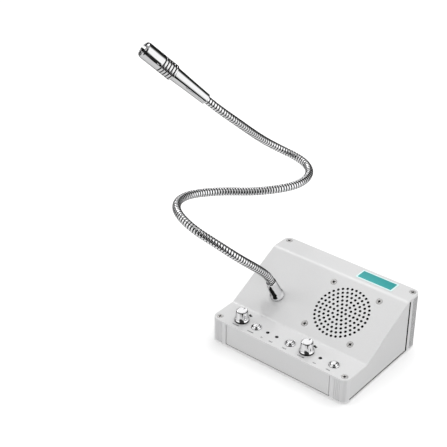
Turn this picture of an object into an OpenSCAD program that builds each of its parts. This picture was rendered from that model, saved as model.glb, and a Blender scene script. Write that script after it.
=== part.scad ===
// Desk station with a microphone on a flexible metal neck.
// The frame: X to the right, Y to the back, Z up; the origin lies on the table
// under the middle of the housing. Sizes are in millimetres.

/* [Housing] */
// Width of the housing from side to side
body_w = 182; // [170:1:240]
// Depth of the housing from front to back
body_d = 140; // [132:1:190]
// Height of the low front edge above the table
front_h = 31.5; // [31:0.5:42]
// Height of the rear edge above the table
rear_h = 71; // [66:1:84]
// Depth of the flat control strip along the front
strip_d = 37.3; // [34:0.1:42]
// Depth of the flat strip along the rear edge
top_d = 26.2; // [18:0.1:30]
// Thickness of the bent metal cover
cover_t = 2; // [1.5:0.1:2.5]
// Radius of the housing's upright corners
plan_r = 8; // [6:0.5:8]
// Inner radius of the two bends across the cover
bend_r = 3; // [1:0.5:6]

/* [Frame and panels] */
// Thickness of the front, side and rear panels
panel_t = 2; // [1.8:0.1:2.6]
// Length of a corner post's wide face
post_wide = 20.5; // [17:0.5:26]
// Length of a corner post's narrow face
post_narrow = 8.2; // [8:0.1:8.6]
// How deep a corner post reaches in behind the panels
post_core = 13.5; // [12:0.5:18]
// Width of the open joint beside each post
joint_w = 1; // [0.6:0.1:2]
// Depth of the tongue on a panel's edge in its post
tongue_in = 2.5; // [1:0.1:3]
// Number of fine flutes down each post
flutes = 5; // [3:1:6]
// Spacing of the fine flutes
flute_pitch = 2.2; // [1.8:0.1:2.4]
// Thickness of the base plate
base_t = 2; // [1.5:0.1:3]
// Height of the rubber feet below the base plate
foot_h = 0.8; // [0.6:0.1:3]
// Diameter of a rubber foot
foot_dia = 14; // [8:0.5:18]
// Height of the dark open joint under the side panels
side_gap = 1.2; // [0.5:0.1:3]
// Height of the fine open joint under the front panel
front_gap = 0.5; // [0.3:0.1:1]
// Width of the dark open joint in front of the rear posts
rear_gap = 2.2; // [1:0.1:2.6]

/* [Fasteners] */
// Distance of a corner screw from the housing's side
screw_x = 6.8; // [6:0.1:8]
// Distance of a corner screw from the front or the rear
screw_y = 6.6; // [6:0.1:7.5]
// Thread diameter of the corner and speaker screws
screw_dia = 3.6; // [3:0.1:4]
// Head diameter of the countersunk screws
head_dia = 7.4; // [6.5:0.1:8]
// Length of a corner screw
screw_len = 9; // [6:0.5:10]

/* [Speaker] */
// Distance of the speaker from the middle of the housing
speaker_x = 31.5; // [24:0.5:36]
// Distance of the speaker up the slope from the lower bend
speaker_u = 43.2; // [41:0.1:46]
// Spacing of the four speaker screws
speaker_pitch = 60; // [56:0.5:62]
// Distance of a speaker screw from the flange's edge
flange_edge = 5; // [4.5:0.1:6]
// Depth of the speaker's cone frame
frame_depth = 17; // [14:0.5:18]
// Diameter of the speaker magnet
magnet_dia = 44; // [34:1:46]
// Thickness of the speaker magnet
magnet_t = 8; // [6:0.5:9]
// Number of rings of holes round the centre hole
hole_rings = 6; // [3:1:6]
// Spacing of the rings of holes
hole_pitch = 5.1; // [4.4:0.1:5.2]
// Diameter of one speaker hole
hole_dia = 2.5; // [1.6:0.1:3]

/* [Controls] */
// Distance of the row of controls from the front edge
row_y = 16; // [15:0.5:18]
// Place of the left knob from the middle
knob_left_x = -60.3; // [-62:0.1:-58]
// Place of the right knob from the middle
knob_right_x = 28.8; // [27:0.1:31]
// Place of the left button from the middle
button_left_x = -39.7; // [-41:0.1:-38]
// Place of the middle button from the middle
button_mid_x = 6.7; // [4:0.1:9]
// Place of the right button from the middle
button_right_x = 64.3; // [62:0.1:66]
// Place of the first indicator from the middle
lamp_1_x = -23.9; // [-25:0.1:-22]
// Place of the second indicator from the middle
lamp_2_x = -11.5; // [-13:0.1:-10]
// Place of the third indicator from the middle
lamp_3_x = 46.6; // [44:0.1:48]
// Diameter of a knob's grip
knob_dia = 13.8; // [12:0.1:16]
// Diameter of the flange round a knob's foot
knob_flange = 16.6; // [14.5:0.1:18]
// Height of a knob
knob_h = 13; // [11:0.5:16]
// Diameter of the control shafts
shaft_dia = 6; // [4:0.1:6.4]
// Diameter of a button's cap
cap_dia = 9.2; // [7:0.1:10]
// Diameter of the ring round a button
bezel_dia = 12; // [11.4:0.1:13]
// How far a button's cap stands above its ring
cap_rise = 1.6; // [1.4:0.1:3]
// How far a button can be pressed
press = 1.2; // [0.6:0.1:1.3]
// Diameter of an indicator lens
lens_dia = 4; // [2.5:0.1:5]
// Thickness of the circuit boards
board_t = 1.6; // [1:0.1:2]

/* [Neck] */
// Place of the neck's socket from the middle of the housing
socket_x = -47.8; // [-55:0.5:-42]
// Distance of the socket up the slope from the lower bend
socket_u = 30; // [26:0.5:40]
// Height of the neck's socket above the slope
socket_h = 28.5; // [24:0.5:34]
// Diameter of the socket at its foot
socket_foot = 16.4; // [14:0.1:18]
// Diameter of the socket at its mouth
socket_mouth = 11.4; // [11:0.1:14]
// Outer diameter of the flexible neck
neck_dia = 9.2; // [7.5:0.1:9.4]
// Diameter of the bore inside the neck
neck_bore = 5; // [3:0.1:5.6]
// Spacing of the neck's ribs
rib_pitch = 3.4; // [3.3:0.1:4.5]
// Depth of the groove between two ribs
rib_depth = 0.7; // [0.3:0.1:0.9]
// Depth of the neck's end in the socket and in the stem
neck_in = 8; // [5:0.5:12]

/* [Microphone] */
// Length of the tapered stem
stem_len = 49; // [36:1:70]
// Diameter of the stem at the neck
stem_small = 12.8; // [11.4:0.1:14]
// Diameter of the stem at the ringed sleeve
stem_large = 16; // [14.2:0.1:16.4]
// Diameter of the ringed sleeve and of the head
head_outer = 19; // [17.4:0.1:20]
// Length of the ringed sleeve
sleeve_len = 18.5; // [16:0.5:32]
// Number of rings on the sleeve
sleeve_rings = 5; // [3:1:7]
// Length of the slotted head
slot_head_len = 25.5; // [20:0.5:34]
// Number of slots round the head
head_slots = 4; // [3:1:8]
// Width of a slot
slot_w = 3.2; // [1.4:0.1:3.6]
// Wall of the slotted head
head_wall = 1.4; // [1:0.1:2]

/* [Rear sockets] */
// Height of the rear sockets above the base plate
jack_z = 19; // [18:0.5:26]
// Place of the power socket from the middle
power_x = -52; // [-56:0.5:-48]
// Place of the round socket for the second station
round_x = -22; // [-26:0.5:-18]
// Place of the small recording socket
record_x = 4; // [0:0.5:12]
// Bore of the power socket
power_bore = 5.6; // [5:0.1:6.4]
// Bore of the small recording socket
record_bore = 3.6; // [2.6:0.1:4]

/* [Hidden] */

$fn = 48;
// Clearance between pieces that seat on or in each other
fit = 0.1;
// Clearance of a bore round what it takes, on the radius
bore_fit = 0.05;
// Clearance of a turning shaft in its bore, on the radius
shaft_fit = 0.08;
// Clearance of a sliding button, on the radius
run_fit = 0.25;
// Overshoot of a cut
cut = 1;

half_w = body_w / 2;
half_d = body_d / 2;
base_top = foot_h + base_t;
strip_y = -half_d + strip_d;
top_y = half_d - top_d;
rise = rear_h - front_h;
run = top_y - strip_y;
slope = atan2(rise, run);
slope_len = norm([run, rise]);
strip_under = front_h - cover_t;
row = -half_d + row_y;

// The cover's underside meets itself at these two folds
fold_shift = cover_t * tan(slope / 2);
under_low = [strip_y + fold_shift, front_h - cover_t];
under_high = [top_y + fold_shift, rear_h - cover_t];

metal = [0.86, 0.86, 0.87];
post_metal = [0.74, 0.75, 0.77];
chrome = [0.80, 0.81, 0.84];
black = [0.09, 0.09, 0.10];
board_green = [0.10, 0.36, 0.20];
steel = [0.62, 0.63, 0.65];

function unit(v) = v / norm(v);

// Points of an arc of radius r that rounds the corner b between a and c
function rounded(a, b, c, r, steps = 6) =
  let (
    u = unit(a - b),
    v = unit(c - b),
    half = acos(u * v) / 2,
    centre = b + unit(u + v) * r / sin(half),
    first = b + u * r / tan(half) - centre,
    start = atan2(first[1], first[0]),
    side = sign(u[0] * v[1] - u[1] * v[0]),
    sweep = -side * (180 - 2 * half)
  )
  [for (i = [0:steps]) centre + r * [cos(start + sweep * i / steps), sin(start + sweep * i / steps)]];

// Places a child on the slope: x from the middle, u up the slope, Z square to it
module on_slope(x, u) {
  translate([x, strip_y + u * cos(slope), front_h + u * sin(slope)])
    rotate([slope, 0, 0])
      children();
}

// Extrudes an outline drawn in Y and Z along X, from x0 to x1
module along_x(x0, x1) {
  translate([x0, 0, 0])
    rotate([90, 0, 90])
      linear_extrude(x1 - x0)
        children();
}

module rounded_rect(w, d, r) {
  square([w - 2 * r, d], center = true);
  square([w, d - 2 * r], center = true);
  for (x = [-1, 1], y = [-1, 1])
    translate([x * (w / 2 - r), y * (d / 2 - r)])
      circle(r);
}

module at_corners() {
  for (x = [-1, 1], y = [-1, 1])
    translate([x * (half_w - screw_x), y * (half_d - screw_y), 0])
      children();
}

// Height of a screw head's straight rim above its cone of 45 degrees
head_rim = 0.3;
head_cone = (head_dia - screw_dia) / 2;

// A countersunk screw, its head's top at Z = 0 and its point down
module countersunk_screw(length) {
  rotate_extrude()
    polygon([
      [0, 0],
      [head_dia / 2, 0],
      [head_dia / 2, -head_rim],
      [screw_dia / 2, -head_rim - head_cone],
      [screw_dia / 2, -length + 0.5],
      [screw_dia / 2 - 0.5, -length],
      [0, -length]
    ]);
}

// The hole that such a screw sits in
module countersink(depth) {
  head_r = head_dia / 2 + bore_fit;
  screw_r = screw_dia / 2 + bore_fit;
  rotate_extrude()
    polygon([
      [0, cut],
      [head_r, cut],
      [head_r, -head_rim - bore_fit],
      [screw_r, -head_rim - bore_fit - head_cone],
      [screw_r, -depth],
      [0, -depth]
    ]);
}

// Room for the tip of a head's cone in what lies under the sheet
module cone_room() {
  head_r = head_dia / 2 + bore_fit;
  rotate_extrude()
    polygon([
      [0, cut],
      [head_r, cut],
      [head_r, -head_rim - bore_fit],
      [0, -head_rim - bore_fit - head_r]
    ]);
}

// Housing

// Outline of the bent cover seen from the side
module cover_outline() {
  front_top = [-half_d, front_h];
  front_low = [-half_d, front_h - cover_t];
  rear_top = [half_d, rear_h];
  rear_low = [half_d, rear_h - cover_t];
  low = [strip_y, front_h];
  high = [top_y, rear_h];
  polygon(concat(
    [front_low, front_top],
    rounded(front_top, low, high, bend_r),
    rounded(low, high, rear_top, bend_r + cover_t),
    [rear_top, rear_low],
    rounded(rear_low, under_high, under_low, bend_r),
    rounded(under_high, under_low, front_low, bend_r + cover_t)
  ));
}

module speaker_holes() {
  on_slope(speaker_x, speaker_u) {
    cylinder(d = hole_dia, h = 3 * cover_t, center = true, $fn = 16);
    for (ring = [1:hole_rings], i = [0:6 * ring - 1])
      rotate(i * 360 / (6 * ring))
        translate([ring * hole_pitch, 0, 0])
          cylinder(d = hole_dia, h = 3 * cover_t, center = true, $fn = 16);
  }
}

module speaker_corners() {
  on_slope(speaker_x, speaker_u)
    for (x = [-1, 1], y = [-1, 1])
      translate([x * speaker_pitch / 2, y * speaker_pitch / 2, 0])
        children();
}

module at_knobs() {
  for (x = [knob_left_x, knob_right_x])
    translate([x, row, 0])
      children();
}

module at_buttons() {
  for (x = [button_left_x, button_mid_x, button_right_x])
    translate([x, row, 0])
      children();
}

module at_lamps() {
  for (x = [lamp_1_x, lamp_2_x, lamp_3_x])
    translate([x, row, 0])
      children();
}

bushing_dia = shaft_dia + 1.4;
sleeve_dia = bezel_dia - 1.6;
thread_dia = neck_dia + 0.8;

module top_cover() {
  color(metal)
    difference() {
      intersection() {
        along_x(-half_w, half_w)
          cover_outline();
        linear_extrude(2 * rear_h)
          rounded_rect(body_w, body_d, plan_r);
      }
      speaker_holes();
      speaker_corners()
        countersink(3 * cover_t);
      for (x = [-1, 1]) {
        translate([x * (half_w - screw_x), -half_d + screw_y, front_h])
          countersink(3 * cover_t);
        translate([x * (half_w - screw_x), half_d - screw_y, rear_h])
          countersink(3 * cover_t);
      }
      at_knobs()
        translate([0, 0, strip_under - cut])
          cylinder(d = bushing_dia + 2 * fit, h = cover_t + 2 * cut);
      at_buttons()
        translate([0, 0, strip_under - cut])
          cylinder(d = sleeve_dia + 2 * fit, h = cover_t + 2 * cut);
      at_lamps()
        translate([0, 0, strip_under - cut])
          cylinder(d = lens_dia + 2 * fit, h = cover_t + 2 * cut);
      on_slope(socket_x, socket_u)
        translate([0, 0, -3 * cover_t])
          cylinder(d = thread_dia + 2 * fit, h = 4 * cover_t);
    }
}

// Area under the cover seen from the side, a little below its underside
module under_cover(drop) {
  shift = drop * tan(slope / 2);
  polygon([
    [-half_d, 0],
    [half_d, 0],
    [half_d, under_high[1] - drop],
    [under_high[0] + shift, under_high[1] - drop],
    [under_low[0] + shift, under_low[1] - drop],
    [-half_d, under_low[1] - drop]
  ]);
}

tongue_t = panel_t / 2;
panel_out = 0.2;
slot_t = tongue_t + 2 * fit;
// How far the back of a panel lies in from the housing's face
panel_back = panel_out + panel_t;

front_half = half_w - post_wide - joint_w;

// The front panel: its face leaves a fine joint open, and its thinner rim runs on behind
module front_panel() {
  top = strip_under - fit;
  face_z = base_top + front_gap;
  rim_z = base_top + fit;
  rim_half = front_half + joint_w + tongue_in;
  color(metal) {
    translate([-front_half, -half_d + panel_out, face_z])
      cube([2 * front_half, panel_t, top - face_z]);
    translate([-rim_half, -half_d + panel_back - tongue_t, rim_z])
      cube([2 * rim_half, tongue_t, top - rim_z]);
  }
}

side_front = -half_d + post_narrow + joint_w / 2;
side_rear = half_d - post_wide - rear_gap;

// A side panel, drawn for the right-hand side: face and thinner rim as in front
module side_panel() {
  face_z = base_top + side_gap;
  rim_front = side_front - joint_w / 2 - tongue_in;
  rim_rear = side_rear + rear_gap + tongue_in;
  intersection() {
    along_x(half_w - panel_back, half_w - panel_out)
      under_cover(fit);
    translate([0, side_front, face_z])
      cube([body_w, side_rear - side_front, rear_h]);
  }
  intersection() {
    along_x(half_w - panel_back, half_w - panel_back + tongue_t)
      under_cover(fit);
    translate([0, rim_front, base_top + fit])
      cube([body_w, rim_rear - rim_front, rear_h]);
  }
}

module left_side_panel() {
  color(metal)
    mirror([1, 0, 0])
      side_panel();
}

module right_side_panel() {
  color(metal)
    side_panel();
}

rear_half = half_w - post_narrow - joint_w / 2;
power_body = [12, 12, 14];
round_flange = 18;
round_body = 15;
record_body = 8;

module rear_panel() {
  top = rear_h - cover_t - fit;
  color(metal)
    difference() {
      union() {
        translate([-rear_half, half_d - panel_back, base_top + fit])
          cube([2 * rear_half, panel_t, top - base_top - fit]);
        translate([-rear_half - joint_w / 2 - tongue_in, half_d - panel_back, base_top + fit])
          cube([2 * (rear_half + tongue_in) + joint_w, tongue_t, top - base_top - fit]);
      }
      at_rear(power_x)
        cylinder(d = power_bore + 2.4 + 2 * fit, h = 4 * panel_t, center = true);
      at_rear(round_x)
        cylinder(d = round_body + 2 * fit, h = 4 * panel_t, center = true);
      at_rear(record_x)
        cylinder(d = record_bore + 2.4 + 2 * fit, h = 4 * panel_t, center = true);
    }
}

// A place on the rear panel's outer face, Z pointing out of the housing
module at_rear(x) {
  translate([x, half_d - panel_out, base_top + jack_z])
    rotate([-90, 0, 0])
      children();
}

// A corner post's section: its outer corner at the origin, the wide face along X,
// the narrow face along Y, the housing's inside towards +X and +Y
module post_section() {
  difference() {
    union() {
      difference() {
        square([post_wide, post_narrow]);
        square(plan_r);
      }
      intersection() {
        square(plan_r);
        translate([plan_r, plan_r])
          circle(plan_r);
      }
      translate([panel_back + fit, plan_r - cut])
        square([post_core - panel_back, post_core - plan_r + cut]);
    }
    // slot for the tongue of the panel on the wide side
    translate([post_wide - tongue_in - fit, panel_back - tongue_t - fit])
      square([tongue_in + cut, slot_t]);
    // slot for the tongue of the panel on the narrow side
    translate([panel_back - tongue_t - fit, post_narrow - tongue_in - fit])
      square([slot_t, tongue_in + cut]);
    // fine flutes down the wide face
    for (i = [0:flutes - 1])
      translate([post_wide - 6 - i * flute_pitch, 0])
        circle(d = flute_pitch / 2, $fn = 16);
  }
}

// A post between the base plate and the cover, bored for the screws at its ends
module post(height) {
  color(post_metal)
    difference() {
      translate([0, 0, base_top])
        linear_extrude(height - cover_t - base_top)
          children();
      at_corners() {
        cylinder(d = screw_dia + 2 * bore_fit, h = height);
        translate([0, 0, height])
          cone_room();
        translate([0, 0, foot_h])
          rotate([180, 0, 0])
            cone_room();
      }
    }
}

module front_left_post() {
  post(front_h)
    translate([-half_w, -half_d])
      post_section();
}

module front_right_post() {
  post(front_h)
    translate([half_w, -half_d])
      mirror([1, 0])
        post_section();
}

// On the rear posts the wide face lies on the housing's side
module rear_section() {
  translate([half_w, half_d])
    rotate(180)
      mirror([1, -1])
        post_section();
}

module rear_right_post() {
  post(rear_h)
    rear_section();
}

module rear_left_post() {
  post(rear_h)
    mirror([1, 0])
      rear_section();
}

foot_x = half_w - post_wide - foot_dia / 2;
foot_y = half_d - post_wide - foot_dia / 2;

module base_plate() {
  color(metal)
    difference() {
      translate([0, 0, foot_h])
        linear_extrude(base_t)
          rounded_rect(body_w, body_d, plan_r);
      at_corners()
        translate([0, 0, foot_h])
          rotate([180, 0, 0])
            countersink(base_t + cut);
      at_board_corners()
        translate([0, 0, foot_h - cut])
          cylinder(d = board_screw + 2 * bore_fit, h = base_t + 2 * cut);
    }
}

module rubber_feet() {
  color(black)
    for (x = [-1, 1], y = [-1, 1])
      translate([x * foot_x, y * foot_y, 0])
        rotate_extrude()
          polygon([
            [0, 0],
            [foot_dia / 2 - 0.4, 0],
            [foot_dia / 2, foot_h],
            [0, foot_h]
          ]);
}

module cover_screws() {
  color(chrome)
    for (x = [-1, 1]) {
      translate([x * (half_w - screw_x), -half_d + screw_y, front_h])
        countersunk_screw(screw_len);
      translate([x * (half_w - screw_x), half_d - screw_y, rear_h])
        countersunk_screw(screw_len);
    }
}

module base_screws() {
  color(steel)
    at_corners()
      translate([0, 0, foot_h])
        rotate([180, 0, 0])
          countersunk_screw(screw_len);
}

// Speaker

flange_w = speaker_pitch + 2 * flange_edge;
flange_r = 4;
gauze_t = 0.4;
flange_t = 1.5;
flange_top = -cover_t - gauze_t - 2 * fit;
frame_r = flange_w / 2 - 1.5;
frame_wall = 1;
magnet_top = flange_top - frame_depth;

module speaker_gauze() {
  color(black)
    on_slope(speaker_x, speaker_u)
      translate([0, 0, -cover_t - fit - gauze_t])
        difference() {
          linear_extrude(gauze_t)
            rounded_rect(flange_w, flange_w, flange_r);
          for (x = [-1, 1], y = [-1, 1])
            translate([x * speaker_pitch / 2, y * speaker_pitch / 2, -cut])
              cylinder(d = screw_dia + 2 * fit, h = gauze_t + 2 * cut);
        }
}

module speaker_frame() {
  back_r = magnet_dia / 2;
  color(steel)
    on_slope(speaker_x, speaker_u)
      translate([0, 0, flange_top]) {
        difference() {
          translate([0, 0, -flange_t])
            linear_extrude(flange_t)
              rounded_rect(flange_w, flange_w, flange_r);
          translate([0, 0, -2 * flange_t])
            cylinder(r = frame_r - 2, h = 3 * flange_t);
          for (x = [-1, 1], y = [-1, 1])
            translate([x * speaker_pitch / 2, y * speaker_pitch / 2, -2 * flange_t])
              cylinder(d = screw_dia + 2 * fit, h = 3 * flange_t);
        }
        difference() {
          rotate_extrude($fn = 96)
            polygon([
              [frame_r - 2, -flange_t],
              [frame_r, -flange_t],
              [frame_r, -flange_t - 3],
              [back_r, -frame_depth],
              [8, -frame_depth],
              [8, -frame_depth + frame_wall],
              [back_r - 1, -frame_depth + frame_wall],
              [frame_r - 2, -flange_t - 3.4]
            ]);
          for (i = [0:3])
            rotate(45 + 90 * i)
              translate([0, back_r - 3, -flange_t - 4.5])
                rotate([-90, 0, 0])
                  translate([-9, 0, 0])
                    cube([18, frame_depth - flange_t - 7, frame_r]);
        }
      }
}

module speaker_magnet() {
  color([0.2, 0.2, 0.22])
    on_slope(speaker_x, speaker_u)
      translate([0, 0, magnet_top])
        rotate_extrude($fn = 96)
          polygon([
            [0, 0.5],
            [7, 0.5],
            [7, 0],
            [magnet_dia / 2, 0],
            [magnet_dia / 2, -magnet_t],
            [magnet_dia / 2 - 3, -magnet_t - 2],
            [0, -magnet_t - 2]
          ]);
}

module speaker_cone() {
  edge_r = frame_r - 2.6;
  color([0.16, 0.16, 0.17])
    on_slope(speaker_x, speaker_u)
      translate([0, 0, flange_top])
        rotate_extrude($fn = 96)
          polygon([
            [0, -6.5],
            [5, -7.2],
            [9, -9.5],
            [edge_r - 6, -3.2],
            [edge_r - 3.6, -1.4],
            [edge_r - 1.6, -2.4],
            [edge_r + 0.5, -2.4],
            [edge_r + 0.5, -3],
            [edge_r - 1.8, -3.2],
            [edge_r - 3.8, -2.3],
            [edge_r - 6.2, -4],
            [9.6, -10.2],
            [9.6, -frame_depth + 2.5],
            [8.8, -frame_depth + 2.5],
            [8.8, -10.4],
            [4.6, -8],
            [0, -7.3]
          ]);
}

speaker_screw_len = 9;

module speaker_screws() {
  color(chrome)
    speaker_corners()
      countersunk_screw(speaker_screw_len);
}

module speaker_nuts() {
  nut_top = flange_top - flange_t - fit;
  color(steel)
    speaker_corners()
      translate([0, 0, nut_top - 2.8])
        difference() {
          cylinder(d = 7.4, h = 2.8, $fn = 6);
          translate([0, 0, -cut])
            cylinder(d = screw_dia + 2 * bore_fit, h = 2.8 + 2 * cut);
        }
}

// Circuit boards and controls

board_x0 = -half_w + post_wide + 3;
board_x1 = 16;
board_y0 = -16;
board_y1 = half_d - panel_back - 12;
board_z = base_top + 5;
board_screw = 2.5;
board_inset = 4;
board_pillar = 5.5;

module at_board_corners() {
  for (x = [board_x0 + board_inset, board_x1 - board_inset],
       y = [board_y0 + board_inset, board_y1 - board_inset])
    translate([x, y, 0])
      children();
}

module main_board() {
  top = board_z + board_t;
  color(board_green)
    difference() {
      union() {
        translate([board_x0, board_y0, board_z])
          cube([board_x1 - board_x0, board_y1 - board_y0, board_t]);
        // amplifier chip with its cooling fins
        translate([board_x0 + 14, board_y0 + 12, top])
          cube([22, 9, 5]);
        for (i = [0:4])
          translate([board_x0 + 14 + i * 4.9, board_y0 + 12, top])
            cube([2, 9, 12]);
        // smoothing capacitors
        for (i = [0:2])
          translate([board_x0 + 12 + i * 13, board_y0 + 33, top])
            cylinder(d = 9, h = 11);
        // control chip and a row of terminals
        translate([board_x0 + 46, board_y0 + 14, top])
          cube([14, 10, 2.4]);
        translate([board_x0 + 52, board_y0 + 34, top])
          cube([18, 6, 6]);
      }
      at_board_corners()
        translate([0, 0, board_z - cut])
          cylinder(d = board_screw + 2 * bore_fit, h = board_t + 2 * cut);
    }
}

module board_pillars() {
  color(steel)
    at_board_corners()
      translate([0, 0, base_top])
        difference() {
          cylinder(d = board_pillar, h = board_z - base_top, $fn = 6);
          translate([0, 0, -cut])
            cylinder(d = board_screw + 2 * bore_fit, h = board_z - base_top + 2 * cut);
        }
}

module board_screws() {
  top = board_z + board_t;
  color(steel)
    at_board_corners()
      translate([0, 0, top])
        rotate_extrude()
          polygon([
            [0, 1.6],
            [1.6, 1.6],
            [2.4, 0.9],
            [2.4, 0],
            [board_screw / 2, 0],
            [board_screw / 2, foot_h - top],
            [0, foot_h - top]
          ]);
}

switch_h = 6.5;
switch_w = 9;
control_z = strip_under - 9.5 - board_t;
control_half = half_w - post_wide - 4;
control_y0 = -half_d + panel_back + 2.5;
control_y1 = strip_y - 3;
pot_dia = 16.5;
control_inset = 4;
control_pillar = 5;

// The two outer pillars stand in the board's corners, the inner ones between two controls
module at_control_pillars() {
  outer = control_half - control_inset;
  for (x = [-outer, (button_left_x + lamp_1_x) / 2, (button_mid_x + knob_right_x) / 2, outer])
    translate([x, control_y1 - control_inset, 0])
      children();
}

module control_board() {
  color(board_green)
    difference() {
      translate([-control_half, control_y0, control_z])
        cube([2 * control_half, control_y1 - control_y0, board_t]);
      at_control_pillars()
        translate([0, 0, control_z - cut])
          cylinder(d = board_screw + 2 * bore_fit, h = board_t + 2 * cut);
    }
}

// Threaded pillars between the cover and the control board, each with its screw
module control_pillars() {
  head_h = 1.4;
  foot_z = control_z + board_t;
  color(steel)
    at_control_pillars() {
      translate([0, 0, foot_z])
        cylinder(d = control_pillar, h = strip_under - foot_z, $fn = 6);
      translate([0, 0, control_z - head_h])
        cylinder(d = board_screw, h = board_t + head_h + cut);
      translate([0, 0, control_z - head_h])
        cylinder(d = control_pillar - 0.4, h = head_h);
    }
}

// A rotary control: can, threaded bushing through the cover, and washer nut
module potentiometer(x) {
  can_top = strip_under - fit;
  can_z = control_z + board_t;
  color(steel)
    translate([x, row, 0])
      difference() {
        union() {
          translate([0, 0, can_z])
            cylinder(d = pot_dia, h = can_top - can_z);
          translate([0, 0, can_top - fit])
            cylinder(d = bushing_dia, h = cover_t + 2.4);
          translate([0, 0, front_h + fit])
            cylinder(d = bushing_dia + 3.4, h = 1.6, $fn = 6);
        }
        translate([0, 0, can_z + 2])
          cylinder(d = shaft_dia + 2 * shaft_fit, h = knob_h + rear_h);
      }
}

module left_potentiometer() {
  potentiometer(knob_left_x);
}

module right_potentiometer() {
  potentiometer(knob_right_x);
}

knob_z = front_h + 0.5;
shaft_foot = control_z + board_t + 2 + run_fit;
shaft_top = knob_z + knob_h - 3;
flat_cut = 1;

// The turning shaft, with a flat down the part that the knob grips
module pot_shaft(x) {
  grip_z = knob_z + 4;
  color(steel)
    translate([x, row, 0])
      difference() {
        translate([0, 0, shaft_foot])
          cylinder(d = shaft_dia, h = shaft_top - shaft_foot);
        translate([-shaft_dia, shaft_dia / 2 - flat_cut, grip_z])
          cube([2 * shaft_dia, shaft_dia, knob_h]);
      }
}

module left_pot_shaft() {
  pot_shaft(knob_left_x);
}

module right_pot_shaft() {
  pot_shaft(knob_right_x);
}

// A turned metal knob: flanged foot, flared and tapered grip, rounded crown and pointer cut
module knob(x) {
  r = knob_dia / 2;
  well = bushing_dia / 2 + 2.3;
  color(chrome)
    translate([x, row, knob_z])
      difference() {
        rotate_extrude($fn = 96)
          polygon([
            [0, 4.2],
            [well, 4.2],
            [well, 0],
            [knob_flange / 2, 0],
            [knob_flange / 2, 1.6],
            [r + 0.7, 2.2],
            [r + 0.2, 3.6],
            [r, 5.6],
            [r - 0.3, knob_h - 0.8],
            [r - 0.5, knob_h - 0.3],
            [r - 1, knob_h],
            [0, knob_h]
          ]);
        difference() {
          translate([0, 0, 1])
            cylinder(d = shaft_dia + 2 * bore_fit, h = shaft_top - knob_z - 1 + fit);
          translate([-shaft_dia, shaft_dia / 2 - flat_cut + bore_fit, 4])
            cube([2 * shaft_dia, shaft_dia, knob_h]);
        }
        translate([-0.4, r - 4, knob_h - 0.5])
          cube([0.8, 5, 1]);
      }
}

module left_knob() {
  knob(knob_left_x);
}

module right_knob() {
  knob(knob_right_x);
}

ring_h = 1.4;
stem_dia = 3;
stem_in = 2.4;

// The three rings that line the button holes, each with its short sleeve
module button_rings() {
  bore_r = cap_dia / 2 + run_fit;
  color(chrome)
    at_buttons()
      rotate_extrude($fn = 64)
        polygon([
          [bore_r, strip_under - 1],
          [sleeve_dia / 2, strip_under - 1],
          [sleeve_dia / 2, front_h],
          [bezel_dia / 2, front_h],
          [bezel_dia / 2 - 0.3, front_h + ring_h - 0.2],
          [bezel_dia / 2 - 0.5, front_h + ring_h],
          [bore_r, front_h + ring_h]
        ]);
}

// A button: domed cap, skirt and the stem that reaches into its switch
module button(x) {
  r = cap_dia / 2;
  cap_top = front_h + ring_h + cap_rise;
  cap_low = front_h - 0.6;
  stem_low = control_z + board_t + switch_h - stem_in;
  color(chrome)
    translate([x, row, 0])
      rotate_extrude($fn = 64)
        polygon([
          [0, stem_low],
          [stem_dia / 2, stem_low],
          [stem_dia / 2, cap_low],
          [r, cap_low],
          [r, front_h + ring_h],
          [r - 0.3, cap_top - 0.4],
          [r - 0.8, cap_top],
          [0, cap_top]
        ]);
}

module left_button() {
  button(button_left_x);
}

module middle_button() {
  button(button_mid_x);
}

module right_button() {
  button(button_right_x);
}

module switch_bodies() {
  floor_z = control_z + board_t;
  color(black)
    at_buttons()
      difference() {
        translate([-switch_w / 2, -switch_w / 2, floor_z])
          cube([switch_w, switch_w, switch_h]);
        translate([0, 0, floor_z + switch_h - stem_in - press - 0.4])
          cylinder(d = stem_dia + 2 * run_fit, h = switch_h);
      }
}

module indicator_lenses() {
  r = lens_dia / 2;
  color(black)
    at_lamps()
      rotate_extrude()
        polygon([
          [0, control_z + board_t],
          [r - 0.4, control_z + board_t],
          [r - 0.4, strip_under - 1],
          [r, strip_under - 1],
          [r, front_h + 0.1],
          [r - 0.5, front_h + 0.45],
          [0, front_h + 0.6]
        ]);
}

// Neck

thread_len = cover_t + 7;
nut_h = 4;

// The turned socket that the neck stands in: flared foot, taper and a bored mouth
module neck_socket() {
  mouth_r = socket_mouth / 2;
  foot_r = socket_foot / 2;
  neck_r = neck_dia / 2 + 0.15;
  color(chrome)
    on_slope(socket_x, socket_u)
      rotate_extrude($fn = 64)
        polygon([
          [neck_bore / 2, -thread_len],
          [thread_dia / 2, -thread_len],
          [thread_dia / 2, 0],
          [foot_r - 0.6, 0],
          [foot_r, 0.6],
          [foot_r, 3.2],
          [foot_r - 0.5, 4.2],
          [mouth_r, socket_h - 3],
          [mouth_r, socket_h - 0.5],
          [mouth_r - 0.5, socket_h],
          [neck_r, socket_h],
          [neck_r, socket_h - neck_in - 0.2],
          [neck_bore / 2, socket_h - neck_in - 0.2]
        ]);
}

module neck_nut() {
  color(steel)
    on_slope(socket_x, socket_u)
      translate([0, 0, -cover_t - fit - nut_h])
        difference() {
          cylinder(d = thread_dia + 7, h = nut_h, $fn = 6);
          translate([0, 0, -cut])
            cylinder(d = thread_dia + 2 * bore_fit, h = nut_h + 2 * cut);
        }
}

// Where the neck leaves its socket, and the way it points there
neck_out = [0, -sin(slope), cos(slope)];
mouth = [socket_x, strip_y + socket_u * cos(slope), front_h + socket_u * sin(slope)]
  + neck_out * socket_h;

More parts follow.
